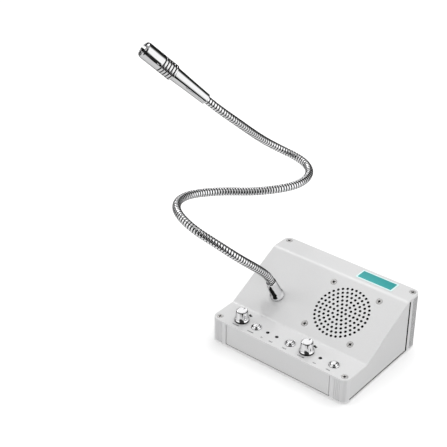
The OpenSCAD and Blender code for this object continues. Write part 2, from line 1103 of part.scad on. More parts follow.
// Guiding points of the neck as it is bent here, from its mouth, chosen by hand.
// The neck is drawn towards them and passes between them.
route = [
  [-10, -43, 46], [-31, -58, 65], [-49, -66, 75], [-74, -65, 83], [-96, -51, 84],
  [-106, -26, 82], [-101, 2, 76], [-86, 24, 74], [-67, 44, 71], [-49, 65, 71],
  [-33, 96, 70], [-39, 128, 71], [-62, 141, 75], [-85, 133, 83], [-97, 114, 98],
  [-100, 90, 118], [-100, 62, 142]
];
// Where the neck ends in the microphone's stem, and the way the microphone points there
neck_end = [-117, 28, 177];
mic_dir = unit([-0.46, -0.56, 0.69]);
// Lengths over which the neck runs straight out of its socket and into the stem
straight_out = 16;
straight_in = 20;
curve_steps = 10;

guides = concat(
  [-straight_out * neck_out, [0, 0, 0], straight_out * neck_out],
  route,
  [neck_end - straight_in * mic_dir, neck_end, neck_end + straight_in * mic_dir]
);
spans = len(guides) - 3;

// A smooth curve along the guiding points, at place t of one span
function curve_at(i, t) =
  (pow(1 - t, 3) * guides[i]
    + (3 * pow(t, 3) - 6 * t * t + 4) * guides[i + 1]
    + (-3 * pow(t, 3) + 3 * t * t + 3 * t + 1) * guides[i + 2]
    + pow(t, 3) * guides[i + 3]) / 6;

// The centre line reaches from the bottom of the socket's bore to that of the stem's
centre_line = concat(
  [mouth - neck_out * neck_in],
  [for (i = [0:spans - 1], k = [0:curve_steps - 1]) mouth + curve_at(i, k / curve_steps)],
  [mouth + neck_end, mouth + neck_end + mic_dir * neck_in]
);
line_last = len(centre_line) - 1;
along = [
  for (i = 0, s = 0; i <= line_last;
    s = s + (i < line_last ? norm(centre_line[i + 1] - centre_line[i]) : 0), i = i + 1) s
];
neck_len = along[line_last];
table_x = [for (i = [0:line_last]) [along[i], centre_line[i][0]]];
table_y = [for (i = [0:line_last]) [along[i], centre_line[i][1]]];
table_z = [for (i = [0:line_last]) [along[i], centre_line[i][2]]];

// Place and direction of the centre line at the length s along it
function place(s) = [lookup(s, table_x), lookup(s, table_y), lookup(s, table_z)];
function heading(s) = unit(place(min(s + 1, neck_len)) - place(max(s - 1, 0)));

// Places along the neck where it can be bent, as shares of its length
bends = [0.08, 0.24, 0.41, 0.57, 0.74, 0.90];
flex_ribs = 4;
tube_gap = 0.1;
sides = 8;
bore_step = 8;

function bend_s(i) = neck_in + bends[i - 1] * (neck_len - 2 * neck_in);
function flex_from(i) = bend_s(i) - flex_ribs * rib_pitch / 2;
function flex_to(i) = bend_s(i) + flex_ribs * rib_pitch / 2;
function tube_from(i) = i == 1 ? 0 : flex_to(i - 1);
function tube_to(i) = i == len(bends) + 1 ? neck_len : flex_from(i);

// One ring of points round the centre line
function ring_at(s, r) =
  let (
    c = place(s),
    t = heading(s),
    u = unit(cross([0, 0, 1], t)),
    v = cross(t, u)
  )
  [for (k = [0:sides - 1]) c + r * (cos(k * 360 / sides) * u + sin(k * 360 / sides) * v)];

// A ribbed and bored length of the neck between two places along it
module ribbed_tube(from, to) {
  r = neck_dia / 2;
  ribs = max(1, round((to - from) / rib_pitch));
  rings = 2 * ribs;
  bores = max(1, round((to - from) / bore_step));
  outer = [for (i = [0:rings]) each ring_at(from + (to - from) * i / rings, r - (i % 2 == 0 ? rib_depth : 0))];
  inner = [for (i = [0:bores]) each ring_at(from + (to - from) * i / bores, neck_bore / 2)];
  base = len(outer);
  top_out = rings * sides;
  top_in = base + bores * sides;
  polyhedron(
    points = concat(outer, inner),
    faces = concat(
      [for (i = [0:rings - 1], k = [0:sides - 1])
        let (n = (k + 1) % sides, a = i * sides, b = a + sides)
        [a + k, b + k, b + n, a + n]],
      [for (i = [0:bores - 1], k = [0:sides - 1])
        let (n = (k + 1) % sides, a = base + i * sides, b = a + sides)
        [a + k, a + n, b + n, b + k]],
      [for (k = [0:sides - 1])
        let (n = (k + 1) % sides)
        [k, n, base + n, base + k]],
      [for (k = [0:sides - 1])
        let (n = (k + 1) % sides)
        [top_out + k, top_in + k, top_in + n, top_out + n]]
    ),
    convexity = 6
  );
}

module neck_tube(i) {
  color(chrome)
    ribbed_tube(tube_from(i) + (i == 1 ? 0 : tube_gap), tube_to(i) - (i > len(bends) ? 0 : tube_gap));
}

module neck_flex(i) {
  color(steel)
    ribbed_tube(flex_from(i), flex_to(i));
}

// Microphone

// Places a child at the end of the neck, Z along the way the microphone points
module at_mic() {
  translate(mouth + neck_end)
    rotate([0, acos(mic_dir[2]), atan2(mic_dir[1], mic_dir[0])])
      children();
}

stem_wall_r = neck_dia / 2 + 0.15;
spigot_len = 6;
spigot_r = head_outer / 2 - 3.2;

module mic_stem() {
  color(chrome)
    at_mic()
      rotate_extrude($fn = 64)
        polygon([
          [stem_wall_r, 0],
          [stem_small / 2 - 0.4, 0],
          [stem_small / 2, 0.4],
          [stem_small / 2, 3],
          [stem_large / 2 - 0.3, stem_len - 6],
          [stem_large / 2, stem_len],
          [spigot_r, stem_len],
          [spigot_r, stem_len + spigot_len],
          [neck_bore / 2, stem_len + spigot_len],
          [neck_bore / 2, neck_in + 0.2],
          [stem_wall_r, neck_in + 0.2]
        ]);
}

sleeve_z = stem_len;
groove_depth = 1;

// The ringed sleeve: turned grooves between the rings
module mic_sleeve() {
  r = head_outer / 2;
  pitch = sleeve_len / sleeve_rings;
  groove = pitch * 0.36;
  color(chrome)
    at_mic()
      translate([0, 0, sleeve_z])
        difference() {
          rotate_extrude($fn = 64)
            polygon([
              [spigot_r + bore_fit, 0],
              [r - 0.5, 0],
              [r, 0.5],
              [r, sleeve_len],
              [r - head_wall - 0.05, sleeve_len],
              [r - head_wall - 0.05, sleeve_len + spigot_len],
              [r - head_wall - 1.6, sleeve_len + spigot_len],
              [r - head_wall - 1.6, spigot_len + 1],
              [spigot_r + bore_fit, spigot_len + 1]
            ]);
          for (i = [1:sleeve_rings])
            translate([0, 0, i * pitch - groove])
              rotate_extrude($fn = 64)
                polygon([
                  [r - groove_depth, 0],
                  [r + cut, 0],
                  [r + cut, groove],
                  [r - groove_depth, groove]
                ]);
        }
}

head_z = sleeve_z + sleeve_len;
slot_from = 2.5;
capsule_len = slot_head_len - 9;

// The slotted head: a bored tube whose slots run out through its crowned end
module mic_head() {
  r = head_outer / 2;
  inner_r = r - head_wall;
  color(chrome)
    at_mic()
      translate([0, 0, head_z])
        difference() {
          rotate_extrude($fn = 64)
            polygon([
              [inner_r, 0],
              [r, 0],
              [r, slot_head_len - 2.5],
              [r - 0.7, slot_head_len - 0.8],
              [r - 2.2, slot_head_len],
              [inner_r - 2.4, slot_head_len],
              [inner_r - 2.4, slot_head_len - 1.4],
              [inner_r, slot_head_len - 3]
            ]);
          for (i = [0:head_slots - 1])
            rotate(i * 360 / head_slots)
              translate([0, -slot_w / 2, slot_from])
                cube([r + cut, slot_w, slot_head_len]);
        }
}

// The electret capsule in its rubber cup, seated in the sleeve's spigot
module mic_capsule() {
  seat_r = head_outer / 2 - head_wall - 1.6 - bore_fit;
  color(black)
    at_mic()
      translate([0, 0, head_z])
        rotate_extrude($fn = 64)
          polygon([
            [0, 0],
            [seat_r, 0],
            [seat_r, spigot_len + fit],
            [seat_r + 1, spigot_len + fit],
            [seat_r + 1, capsule_len - 1],
            [seat_r, capsule_len],
            [0, capsule_len]
          ]);
}

// Rear sockets

module power_socket() {
  color(black)
    at_rear(power_x)
      difference() {
        union() {
          cylinder(d = power_bore + 5.4, h = 1.6);
          translate([0, 0, -panel_t - fit])
            cylinder(d = power_bore + 2.4, h = panel_t + 1);
          translate([-power_body[0] / 2, -power_body[1] / 2, -panel_t - fit - power_body[2]])
            cube(power_body);
        }
        translate([0, 0, -10])
          difference() {
            cylinder(d = power_bore, h = 20);
            cylinder(d = 1.9, h = 10.5);
          }
      }
}

module second_station_socket() {
  pins = 5;
  pin_r = 3.6;
  color(black)
    at_rear(round_x) {
      difference() {
        union() {
          cylinder(d = round_flange, h = 1.4);
          translate([0, 0, -panel_t - 9])
            cylinder(d = round_body, h = panel_t + 10);
        }
        translate([0, 0, -7])
          cylinder(d = round_body - 3, h = 20);
      }
      for (i = [0:pins - 1])
        rotate(i * 180 / (pins - 1))
          translate([pin_r, 0, -8])
            cylinder(d = 1.3, h = 7, $fn = 16);
    }
}

module record_socket() {
  color(black)
    at_rear(record_x)
      difference() {
        union() {
          cylinder(d = record_bore + 4.6, h = 1.6);
          translate([0, 0, -panel_t - fit])
            cylinder(d = record_bore + 2.4, h = panel_t + 1);
          translate([-record_body / 2, -record_body / 2, -panel_t - fit - 11])
            cube([record_body, record_body, 11]);
        }
        translate([0, 0, -11])
          cylinder(d = record_bore, h = 20);
      }
}

top_cover();
front_panel();
left_side_panel();
right_side_panel();
rear_panel();
front_left_post();
front_right_post();
rear_left_post();
rear_right_post();
base_plate();
rubber_feet();
cover_screws();
base_screws();
speaker_frame();
speaker_magnet();
speaker_cone();
speaker_gauze();
speaker_screws();
speaker_nuts();
main_board();
board_pillars();
board_screws();
control_board();
control_pillars();
left_potentiometer();
right_potentiometer();
left_pot_shaft();
right_pot_shaft();
left_knob();
right_knob();
left_button();
middle_button();
right_button();
switch_bodies();
button_rings();
indicator_lenses();
neck_socket();
neck_nut();
neck_tube(1);  // neck_tube_1
neck_tube(2);  // neck_tube_2
neck_tube(3);  // neck_tube_3
neck_tube(4);  // neck_tube_4
neck_tube(5);  // neck_tube_5
neck_tube(6);  // neck_tube_6
neck_tube(7);  // neck_tube_7
neck_flex(1);  // neck_flex_1
neck_flex(2);  // neck_flex_2
neck_flex(3);  // neck_flex_3
neck_flex(4);  // neck_flex_4
neck_flex(5);  // neck_flex_5
neck_flex(6);  // neck_flex_6
mic_stem();
mic_sleeve();
mic_head();
mic_capsule();
power_socket();
second_station_socket();
record_socket();
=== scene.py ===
import bpy
import bmesh
import math
from mathutils import Matrix, Vector


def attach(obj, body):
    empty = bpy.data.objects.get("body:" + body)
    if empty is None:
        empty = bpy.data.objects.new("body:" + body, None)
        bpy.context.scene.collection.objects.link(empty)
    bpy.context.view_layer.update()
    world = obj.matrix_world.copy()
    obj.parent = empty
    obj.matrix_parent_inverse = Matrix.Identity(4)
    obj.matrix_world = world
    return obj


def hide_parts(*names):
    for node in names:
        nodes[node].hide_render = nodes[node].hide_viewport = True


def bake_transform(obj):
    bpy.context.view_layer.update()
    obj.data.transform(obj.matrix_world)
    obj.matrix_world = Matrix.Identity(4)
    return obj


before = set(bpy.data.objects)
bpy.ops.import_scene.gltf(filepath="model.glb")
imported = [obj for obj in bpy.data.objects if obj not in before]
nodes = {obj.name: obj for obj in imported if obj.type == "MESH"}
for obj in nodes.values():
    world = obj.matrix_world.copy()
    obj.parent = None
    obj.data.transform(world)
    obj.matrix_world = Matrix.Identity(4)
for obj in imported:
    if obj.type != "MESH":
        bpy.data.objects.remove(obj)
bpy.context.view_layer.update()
scene = bpy.context.scene
MM = 0.001


# Sizes shared with the CAD, in millimetres

HALF_W, HALF_D = 91.0, 70.0
FRONT_H, REAR_H, FOOT_H = 31.5, 71.0, 0.8
COVER_T = 2.0
# The two folds of the cover, by their depth
STRIP_Y, TOP_Y = -32.7, 43.8
SLOPE = math.atan2(REAR_H - FRONT_H, TOP_Y - STRIP_Y)
# The row of controls on the strip
ROW = -54.0
KNOBS = {"left": -60.3, "right": 28.8}
BUTTONS = {"left": -39.7, "middle": 6.7, "right": 64.3}
LAMPS = (-23.9, -11.5, 46.6)


# Camera and light

def link(obj):
    scene.collection.objects.link(obj)
    return obj


# The photograph's width and the focal length fitted to it, in pixels
FRAME_PX, FOCAL_PX = 447, 1090.4
AZ, EL = math.radians(39.94), math.radians(30.58)
back = Vector((math.sin(AZ) * math.cos(EL), -math.cos(AZ) * math.cos(EL), math.sin(EL)))
right = Vector((math.cos(AZ), math.sin(AZ), 0))
up = back.cross(right)
eye = Vector((0.5595, -0.8262, 0.7414))
cam = link(bpy.data.objects.new("camera", bpy.data.cameras.new("camera")))
cam.data.sensor_width = 36
cam.data.lens = cam.data.sensor_width * FOCAL_PX / FRAME_PX
cam.data.clip_end = 50
cam.matrix_world = Matrix((
    (right.x, up.x, back.x, eye.x), (right.y, up.y, back.y, eye.y),
    (right.z, up.z, back.z, eye.z), (0, 0, 0, 1)))
scene.camera = cam

scene.view_settings.view_transform = "Standard"


def lamp(name, at, target, size, watts):
    data = bpy.data.lights.new(name, "AREA")
    data.shape = "RECTANGLE"
    data.size, data.size_y = size
    data.energy = watts
    obj = link(bpy.data.objects.new(name, data))
    obj.location = at
    obj.rotation_euler = (Vector(target) - Vector(at)).to_track_quat("-Z", "Y").to_euler()
    obj.visible_glossy = False
    return obj


lamp("lamp_top", (0.1, 0.95, 2.1), (0, 0, 0), (2.6, 2.6), 33)
lamp("lamp_left", (-1.9, -1.3, 1.3), (0, 0, 0.1), (1.6, 1.4), 14)
lamp("lamp_front", (1.7, -1.6, 1.2), (0, 0, 0.1), (1.4, 1.2), 11)
rim_lamp = lamp("lamp_fold", (-3.0, 1.26, 3.2), (0, 0.05, 0.07), (1.0, 1.0), 30)
rim_lamp.visible_glossy = True
rim_lamp.visible_diffuse = False


class Tree:
    """Short ways to add, set and join the nodes of a shader."""

    def __init__(self, owner):
        self.nodes = owner.node_tree.nodes
        self.links = owner.node_tree.links

    def put(self, socket, value):
        """Joins a socket to an output, or sets its own value."""
        if isinstance(value, bpy.types.NodeSocket):
            self.links.new(value, socket)
        else:
            socket.default_value = value

    def new(self, kind, inputs=(), **settings):
        node = self.nodes.new("ShaderNode" + kind)
        for name, value in settings.items():
            setattr(node, name, value)
        for name, value in dict(inputs).items():
            self.put(node.inputs[name], value)
        return node

    def math(self, operation, *values):
        node = self.new("Math", operation=operation)
        for socket, value in zip(node.inputs, values):
            self.put(socket, value)
        return node.outputs["Value"]

    def ranged(self, value, first, last, low=0.0, high=1.0, kind="SMOOTHSTEP"):
        """The value carried over from first..last to low..high."""
        inputs = {"Value": value, "From Min": first, "From Max": last, "To Min": low,
                  "To Max": high}
        return self.new("MapRange", inputs, interpolation_type=kind).outputs["Result"]

    def mixed(self, factor, a, b):
        node = self.new("Mix", {"Factor": factor, "A": a, "B": b}, data_type="RGBA")
        return node.outputs["Result"]

    def object_axis(self, axis):
        """The object's own X, Y or Z."""
        place = self.new("TexCoord").outputs["Object"]
        return self.new("SeparateXYZ", {"Vector": place}).outputs[axis]


def window(tree, value, lo, hi, soft, soft_hi=None):
    """1 between lo and hi, with soft ends."""
    soft_hi = soft_hi or soft
    inside = tree.ranged(value, lo - soft, lo + soft)
    past = tree.ranged(value, hi - soft_hi, hi + soft_hi)
    return tree.math("MULTIPLY", inside, tree.math("SUBTRACT", 1.0, past))


def shown(tree, light, mask, level):
    """The light with a card of the given level in front of it where the mask is 1."""
    change = tree.math("SUBTRACT", level, light)
    return tree.math("ADD", light, tree.math("MULTIPLY", mask, change))


def studio(tree):
    """The level that a reflection finds in each direction: a pale table, a sky over it, and
    cards. An azimuth is 0 towards the user and 90 to the user's right."""
    generated = tree.new("TexCoord").outputs["Generated"]
    x, y, z = tree.new("SeparateXYZ", {"Vector": generated}).outputs
    degrees = 180 / math.pi
    toward = tree.math("MULTIPLY", y, -1.0)
    azimuth = tree.math("MULTIPLY", tree.math("ARCTAN2", x, toward), degrees)
    elevation = tree.math("MULTIPLY", tree.math("ARCSINE", z), degrees)
    left = tree.math("MULTIPLY", x, -1.0)
    behind = tree.math("MULTIPLY", tree.math("ARCTAN2", left, y), degrees)

    def card(light, level, turn, az, el, soft=5, soft_el=5, soft_end=None):
        across = window(tree, turn, az[0], az[1], soft, soft_end)
        upright = window(tree, elevation, el[0], el[1], soft_el)
        return shown(tree, light, tree.math("MULTIPLY", across, upright), level)

    light = shown(tree, TABLE, tree.ranged(elevation, -14, -2), SKY)
    # White cards: at the right, at the left front, and high at the rear left
    light = card(light, 1.2, azimuth, (74, 136), (-16, 56), 4, 5, 9)
    light = card(light, 1.0, azimuth, (-62, -4), (2, 50))
    light = card(light, 1.0, behind, (16, 82), (22, 74), 8, 6)
    # Dark cards: at the rear, low at the rear left, round the camera, beside and under it
    light = card(light, 0.02, behind, (-31, 24), (-22, 54), 6)
    light = card(light, 0.03, behind, (0, 60), (-42, 4), 6)
    light = card(light, 0.03, azimuth, (6, 70), (4, 60))
    light = card(light, 0.20, azimuth, (60, 79), (34, 64))
    light = card(light, 0.03, azimuth, (-4, 64), (-26, 10))
    # Grey cards at the right rear and at the left, and a black one low at the right front
    light = card(light, 0.12, azimuth, (130, 154), (-12, 10))
    light = card(light, 0.10, azimuth, (-100, -70), (-24, 28))
    return card(light, 0.0, azimuth, (39, 65), (-44, -19), 3, 3)


def world_shader():
    """White for the camera, an even grey for the light, and the studio for reflections."""
    world = bpy.data.worlds.new("studio")
    scene.world = world
    world.use_nodes = True
    world.node_tree.nodes.clear()
    tree = Tree(world)
    shades = []
    for strength in (DAYLIGHT, studio(tree), 1.0):
        shade_node = tree.new("Background", {"Color": (1, 1, 1, 1), "Strength": strength})
        shades.append(shade_node.outputs["Background"])
    path = tree.new("LightPath").outputs
    lit = tree.new("MixShader", {"Fac": path["Is Glossy Ray"]})
    tree.put(lit.inputs[1], shades[0])
    tree.put(lit.inputs[2], shades[1])
    seen = tree.new("MixShader", {"Fac": path["Is Camera Ray"]})
    tree.put(seen.inputs[1], lit.outputs["Shader"])
    tree.put(seen.inputs[2], shades[2])
    tree.new("OutputWorld", {"Surface": seen.outputs["Shader"]})


DAYLIGHT, TABLE, SKY = 0.58, 0.76, 0.42
world_shader()


# Materials

def material(name, color, metallic=0.0, rough=0.4, grain=700, grain_amount=0.04,
             rough_spread=0.06, bump=0.0, bump_scale=1500.0, stretch=(1, 1, 1), coat=0.0,
             specular=0.5):
    """A procedural surface: colour and roughness drift with noise, and a fine bump."""
    mat = bpy.data.materials.new(name)
    mat.use_nodes = True
    tree = Tree(mat)
    bsdf = surface(mat)
    bsdf.inputs["Metallic"].default_value = metallic
    bsdf.inputs["Specular IOR Level"].default_value = specular
    bsdf.inputs["Coat Weight"].default_value = coat
    own = tree.new("TexCoord").outputs["Object"]
    place = tree.new("Mapping", {"Vector": own, "Scale": stretch}).outputs["Vector"]
    noise = tree.new("TexNoise", {"Vector": place, "Scale": grain, "Detail": 4}).outputs["Fac"]
    ramp = tree.new("ValToRGB", {"Fac": noise})
    darkest, palest = ramp.color_ramp.elements
    darkest.color = tuple(c * (1 - grain_amount) for c in color) + (1,)
    darkest.position = 0.3
    palest.color = tuple(min(1, c * (1 + grain_amount)) for c in color) + (1,)
    palest.position = 0.7
    tree.put(bsdf.inputs["Base Color"], ramp.outputs["Color"])
    level = tree.ranged(noise, 0, 1, max(0.02, rough - rough_spread), rough + rough_spread,
                        "LINEAR")
    tree.put(bsdf.inputs["Roughness"], level)
    if bump:
        fine = tree.new("TexNoise", {"Vector": place, "Scale": bump_scale, "Detail": 3})
        lift(tree, bsdf, fine.outputs["Fac"], bump)
    return mat


def lift(tree, bsdf, height, strength):
    bump = tree.new("Bump", {"Strength": strength, "Distance": 0.0002, "Height": height})
    tree.put(bsdf.inputs["Normal"], bump.outputs["Normal"])


def surface(mat):
    return mat.node_tree.nodes["Principled BSDF"]


def base_color(mat):
    return surface(mat).inputs["Base Color"]


def chrome(name, level, rough, groove=False):
    """Polished metal with painted shade: its colour darkens towards its outline, as a painted dark
    reflection, and in its grooves where it has them.
    """
    mat = material(name, (level, level, level * 1.01), metallic=1.0, rough=rough, grain=500,
                   grain_amount=0.01, rough_spread=0.02)
    tree = Tree(mat)
    # Painted shade: the colour darkens towards the outline, standing in for dark reflections there
    facing = tree.new("LayerWeight", {"Blend": 0.5}).outputs["Facing"]
    unshaded = tree.ranged(facing, 0.62, 0.97, 1.0, 0.08)
    if groove:
        # Painted shade in the grooves, where the groove attribute is 1
        groove_shade_mask = tree.new("Attribute", attribute_name="groove").outputs["Fac"]
        unshaded = tree.math("MULTIPLY", unshaded, tree.ranged(groove_shade_mask, 0.25, 0.8, 1.0, 0.04))
    color = base_color(mat)
    metal = color.links[0].from_socket
    tree.put(color, tree.mixed(unshaded, (0.01, 0.01, 0.011, 1), metal))
    surface(mat).inputs["Specular Tint"].default_value = (0.35, 0.35, 0.35, 1)
    return mat


def cover_with_fold_highlight():
    """The silver of the cover, with a painted highlight: a little paler along its upper fold."""
    mat = material("silver_cover", (0.685, 0.685, 0.687), metallic=0.15, rough=0.38,
                   grain_amount=0.015, bump=0.05, bump_scale=2600, specular=0.4)
    tree = Tree(mat)
    away = tree.math("ABSOLUTE", tree.math("SUBTRACT", tree.object_axis("Y"), TOP_Y * MM))
    # Painted highlight: paler within 3.4 mm of the upper fold
    near = tree.ranged(away, 0.0034, 0.0004)
    color = base_color(mat)
    tree.put(color, tree.mixed(near, color.links[0].from_socket, (0.75, 0.75, 0.752, 1)))
    return mat


def joint_shade_material():
    """Painted shade for the open joints: black at the rear and paler towards the front."""
    mat = material("painted_joint_shade", (0.02, 0.02, 0.02), rough=0.8, specular=0.1)
    tree = Tree(mat)
    along = tree.ranged(tree.object_axis("Y"), -0.07, 0.05, kind="LINEAR")
    ramp = tree.new("ValToRGB", {"Fac": along})
    front, rear = ramp.color_ramp.elements
    front.color = (0.16, 0.16, 0.16, 1)
    rear.position = 0.8
    rear.color = (0.006, 0.006, 0.006, 1)
    tree.put(base_color(mat), ramp.outputs["Color"])
    return mat


def board_material():
    """Green solder mask with the faint lines of copper under it."""
    mat = material("circuit_board", (0.03, 0.17, 0.08), rough=0.35, grain=500, grain_amount=0.1)
    tree = Tree(mat)
    own = tree.new("TexCoord").outputs["Object"]
    brick = tree.new("TexBrick", {
        "Vector": own, "Scale": 130, "Color1": (0.03, 0.17, 0.08, 1),
        "Color2": (0.025, 0.13, 0.065, 1), "Mortar": (0.05, 0.25, 0.11, 1)})
    tree.put(base_color(mat), brick.outputs["Color"])
    return mat


def gauze_material():
    """A fine black cloth: two crossed waves lift the threads."""
    mat = material("black_gauze", (0.012, 0.012, 0.013), rough=0.8, grain=900)
    tree = Tree(mat)
    own = tree.new("TexCoord").outputs["Object"]
    waves = []
    for axis in ("X", "Y"):
        wave = tree.new("TexWave", {"Vector": own, "Scale": 400}, bands_direction=axis)
        waves.append(wave.outputs["Fac"])
    lift(tree, surface(mat), tree.math("MAXIMUM", *waves), 0.6)
    return mat


def silver(name, level, metallic=0.15, blue=0.002):
    return material(name, (level, level, level + blue), metallic=metallic, rough=0.42,
                    grain_amount=0.015, bump=0.05, bump_scale=2600, specular=0.4)


SILVER = cover_with_fold_highlight()
# Paler than the panels: painted light on the base plate's edge
LIT_BASE = silver("silver_base_lit", 0.80, 0.1, 0)
PANEL = silver("silver_panel", 0.65)
POST = material("post_metal", (0.68, 0.68, 0.685), metallic=0.3, rough=0.38, grain=600,
                grain_amount=0.03, bump=0.08, bump_scale=1400, stretch=(1, 1, 0.05))
RUBBER = material("black_rubber", (0.016, 0.016, 0.017), rough=0.75, grain=900, bump=0.15,
                  bump_scale=2500)
SCREW = material("bright_screw", (0.62, 0.61, 0.60), metallic=0.8, rough=0.42, grain=900)
STEEL = material("plain_steel", (0.55, 0.55, 0.56), metallic=0.9, rough=0.35)
DARK_STEEL = material("black_steel", (0.06, 0.06, 0.065), metallic=0.7, rough=0.4)
MAGNET = material("magnet", (0.05, 0.05, 0.055), metallic=0.2, rough=0.55, grain=400, bump=0.1)
PAPER = material("speaker_paper", (0.02, 0.02, 0.02), rough=0.85, grain=600, bump=0.2)
GAUZE = gauze_material()
BOARD = board_material()
KNOB = chrome("chrome_knob", 0.96, 0.06)
BUTTON = chrome("chrome_button", 0.94, 0.08)
TURNED = chrome("chrome_turned", 0.78, 0.05)
COLLAR = chrome("chrome_collar", 0.96, 0.05)
NECK = chrome("chrome_neck", 0.95, 0.08, True)
# Dark chrome for painted shade on the rims of knob tops and screw heads
RIM_SHADE = chrome("chrome_rim_shade", 0.22, 0.15)
# Black for painted shade in holes, recesses and gaps, and for the dark card
SHADE_BLACK = material("painted_shade_black", (0.006, 0.006, 0.006), rough=0.8, specular=0.1)
PLASTIC = material("black_plastic", (0.02, 0.02, 0.021), rough=0.45, grain=900, bump=0.1,
                   bump_scale=3000)
LENS = material("dark_lens", (0.006, 0.006, 0.007), rough=0.2, grain=400, coat=0.1, specular=0.25)
INK = material("ink", (0.05, 0.05, 0.055), rough=0.6, grain=1500, grain_amount=0.1)
DARK_INK = material("dark_ink", (0.008, 0.008, 0.009), rough=0.6, grain=1500, grain_amount=0.1)
JOINT_SHADE = joint_shade_material()
TEAL = material("teal_plate", (0.03, 0.36, 0.36), metallic=0.2, rough=0.4, grain=900,
                grain_amount=0.03)
PALE = material("pale_border", (0.72, 0.93, 0.92), metallic=0.0, rough=0.4, grain=900,
                grain_amount=0.02)

BY_NODE = {
    "top_cover": SILVER, "front_panel": PANEL, "left_side_panel": PANEL,
    "right_side_panel": PANEL, "rear_panel": PANEL, "front_left_post": POST,
    "front_right_post": POST, "rear_left_post": POST, "rear_right_post": POST,
    "base_plate": LIT_BASE, "rubber_feet": RUBBER, "cover_screws": SCREW,
    "base_screws": DARK_STEEL, "speaker_screws": SCREW, "speaker_nuts": STEEL,
    "speaker_frame": STEEL, "speaker_magnet": MAGNET, "speaker_cone": PAPER,
    "speaker_gauze": GAUZE, "main_board": BOARD, "control_board": BOARD,
    "board_pillars": STEEL, "control_pillars": STEEL, "board_screws": STEEL,
    "left_potentiometer": STEEL, "right_potentiometer": STEEL, "left_pot_shaft": STEEL,
    "right_pot_shaft": STEEL, "left_knob": KNOB, "right_knob": KNOB, "left_button": BUTTON,
    "middle_button": BUTTON, "right_button": BUTTON, "switch_bodies": PLASTIC,
    "button_rings": BUTTON, "indicator_lenses": LENS, "neck_socket": COLLAR,
    "neck_nut": STEEL, "mic_stem": TURNED, "mic_sleeve": TURNED, "mic_head": TURNED,
    "mic_capsule": RUBBER, "power_socket": PLASTIC, "second_station_socket": PLASTIC,
    "record_socket": PLASTIC}
for i in range(1, 8):
    BY_NODE[f"neck_tube_{i}"] = NECK
for i in range(1, 7):
    BY_NODE[f"neck_flex_{i}"] = NECK
for name, obj in nodes.items():
    obj.data.materials.clear()
    obj.data.materials.append(BY_NODE[name])


# Mesh helpers

def add(name, verts, faces, mat, smooth=35):
    mesh = bpy.data.meshes.new(name)
    mesh.from_pydata(verts, [], faces)
    mesh.materials.append(mat)
    obj = link(bpy.data.objects.new(name, mesh))
    tidy_normals(mesh)
    shade(mesh, smooth)
    return obj


def tidy_normals(mesh):
    bm = bmesh.new()
    bm.from_mesh(mesh)
    bmesh.ops.remove_doubles(bm, verts=bm.verts, dist=1e-7)
    bmesh.ops.recalc_face_normals(bm, faces=bm.faces)
    bm.to_mesh(mesh)
    bm.free()


def shade(mesh, angle):
    mesh.polygons.foreach_set("use_smooth", [True] * len(mesh.polygons))
    mesh.set_sharp_from_angle(angle=math.radians(angle))
    mesh.update()


def settle(obj, angle=35):
    """Applies the modifiers of obj to its mesh, and shades it anew where an angle is given."""
    deps = bpy.context.evaluated_depsgraph_get()
    mesh = bpy.data.meshes.new_from_object(obj.evaluated_get(deps))
    obj.modifiers.clear()
    obj.data = mesh
    if angle:
        shade(mesh, angle)
    return obj


def bevelled(node, width, segments=3, angle=30, lines=()):
    """A copy of a CAD node with its edges rounded, standing for it. Each line is a plane that
    parts its faces."""
    src = nodes[node]
    mesh = src.data.copy()
    bm = bmesh.new()
    bm.from_mesh(mesh)
    bmesh.ops.remove_doubles(bm, verts=bm.verts, dist=1e-6)
    bmesh.ops.dissolve_limit(bm, angle_limit=math.radians(0.6), verts=bm.verts, edges=bm.edges)
    for at, across in lines:
        bmesh.ops.bisect_plane(bm, geom=bm.verts[:] + bm.edges[:] + bm.faces[:], dist=1e-7,
                               plane_co=at, plane_no=across)
    bm.to_mesh(mesh)
    bm.free()
    shade(mesh, 35)
    obj = link(bpy.data.objects.new(node + "_dressed", mesh))
    mod = obj.modifiers.new("round", "BEVEL")
    mod.width = width
    mod.segments = segments
    mod.limit_method = "ANGLE"
    mod.angle_limit = math.radians(angle)
    mod.use_clamp_overlap = True
    mod.harden_normals = False
    flat = obj.modifiers.new("flat", "WEIGHTED_NORMAL")
    flat.mode = "FACE_AREA"
    flat.weight = 100
    flat.keep_sharp = True
    settle(obj, None)
    obj.data.materials.clear()
    obj.data.materials.append(BY_NODE[node])
    return obj


def painted(obj, mat, where, place=None):
    """Gives mat to the faces of obj for which where(centre in mm, normal) holds."""
    back_to = (place or Matrix()).inverted()
    turn_to = back_to.to_3x3()
    obj.data.materials.append(mat)
    number = len(obj.data.materials) - 1
    for f in obj.data.polygons:
        if where(back_to @ f.center / MM, turn_to @ f.normal):
            f.material_index = number
    return obj


def softened(profile, r, steps=3):
    """An (r, z) outline with its corners rounded by up to r."""
    out = [profile[0]]
    for a, b, c in zip(profile, profile[1:], profile[2:]):
        a, b, c = Vector(a), Vector(b), Vector(c)
        u, v = (a - b), (c - b)
        k = min(r, u.length * 0.45, v.length * 0.45)
        if k < 1e-5 or u.angle(v, 0) > math.radians(172):
            out.append(tuple(b))
            continue
        p, q = b + u.normalized() * k, b + v.normalized() * k
        for i in range(steps + 1):
            t = i / steps
            out.append(tuple((1 - t) ** 2 * p + 2 * t * (1 - t) * b + t * t * q))
    out.append(profile[-1])
    return out


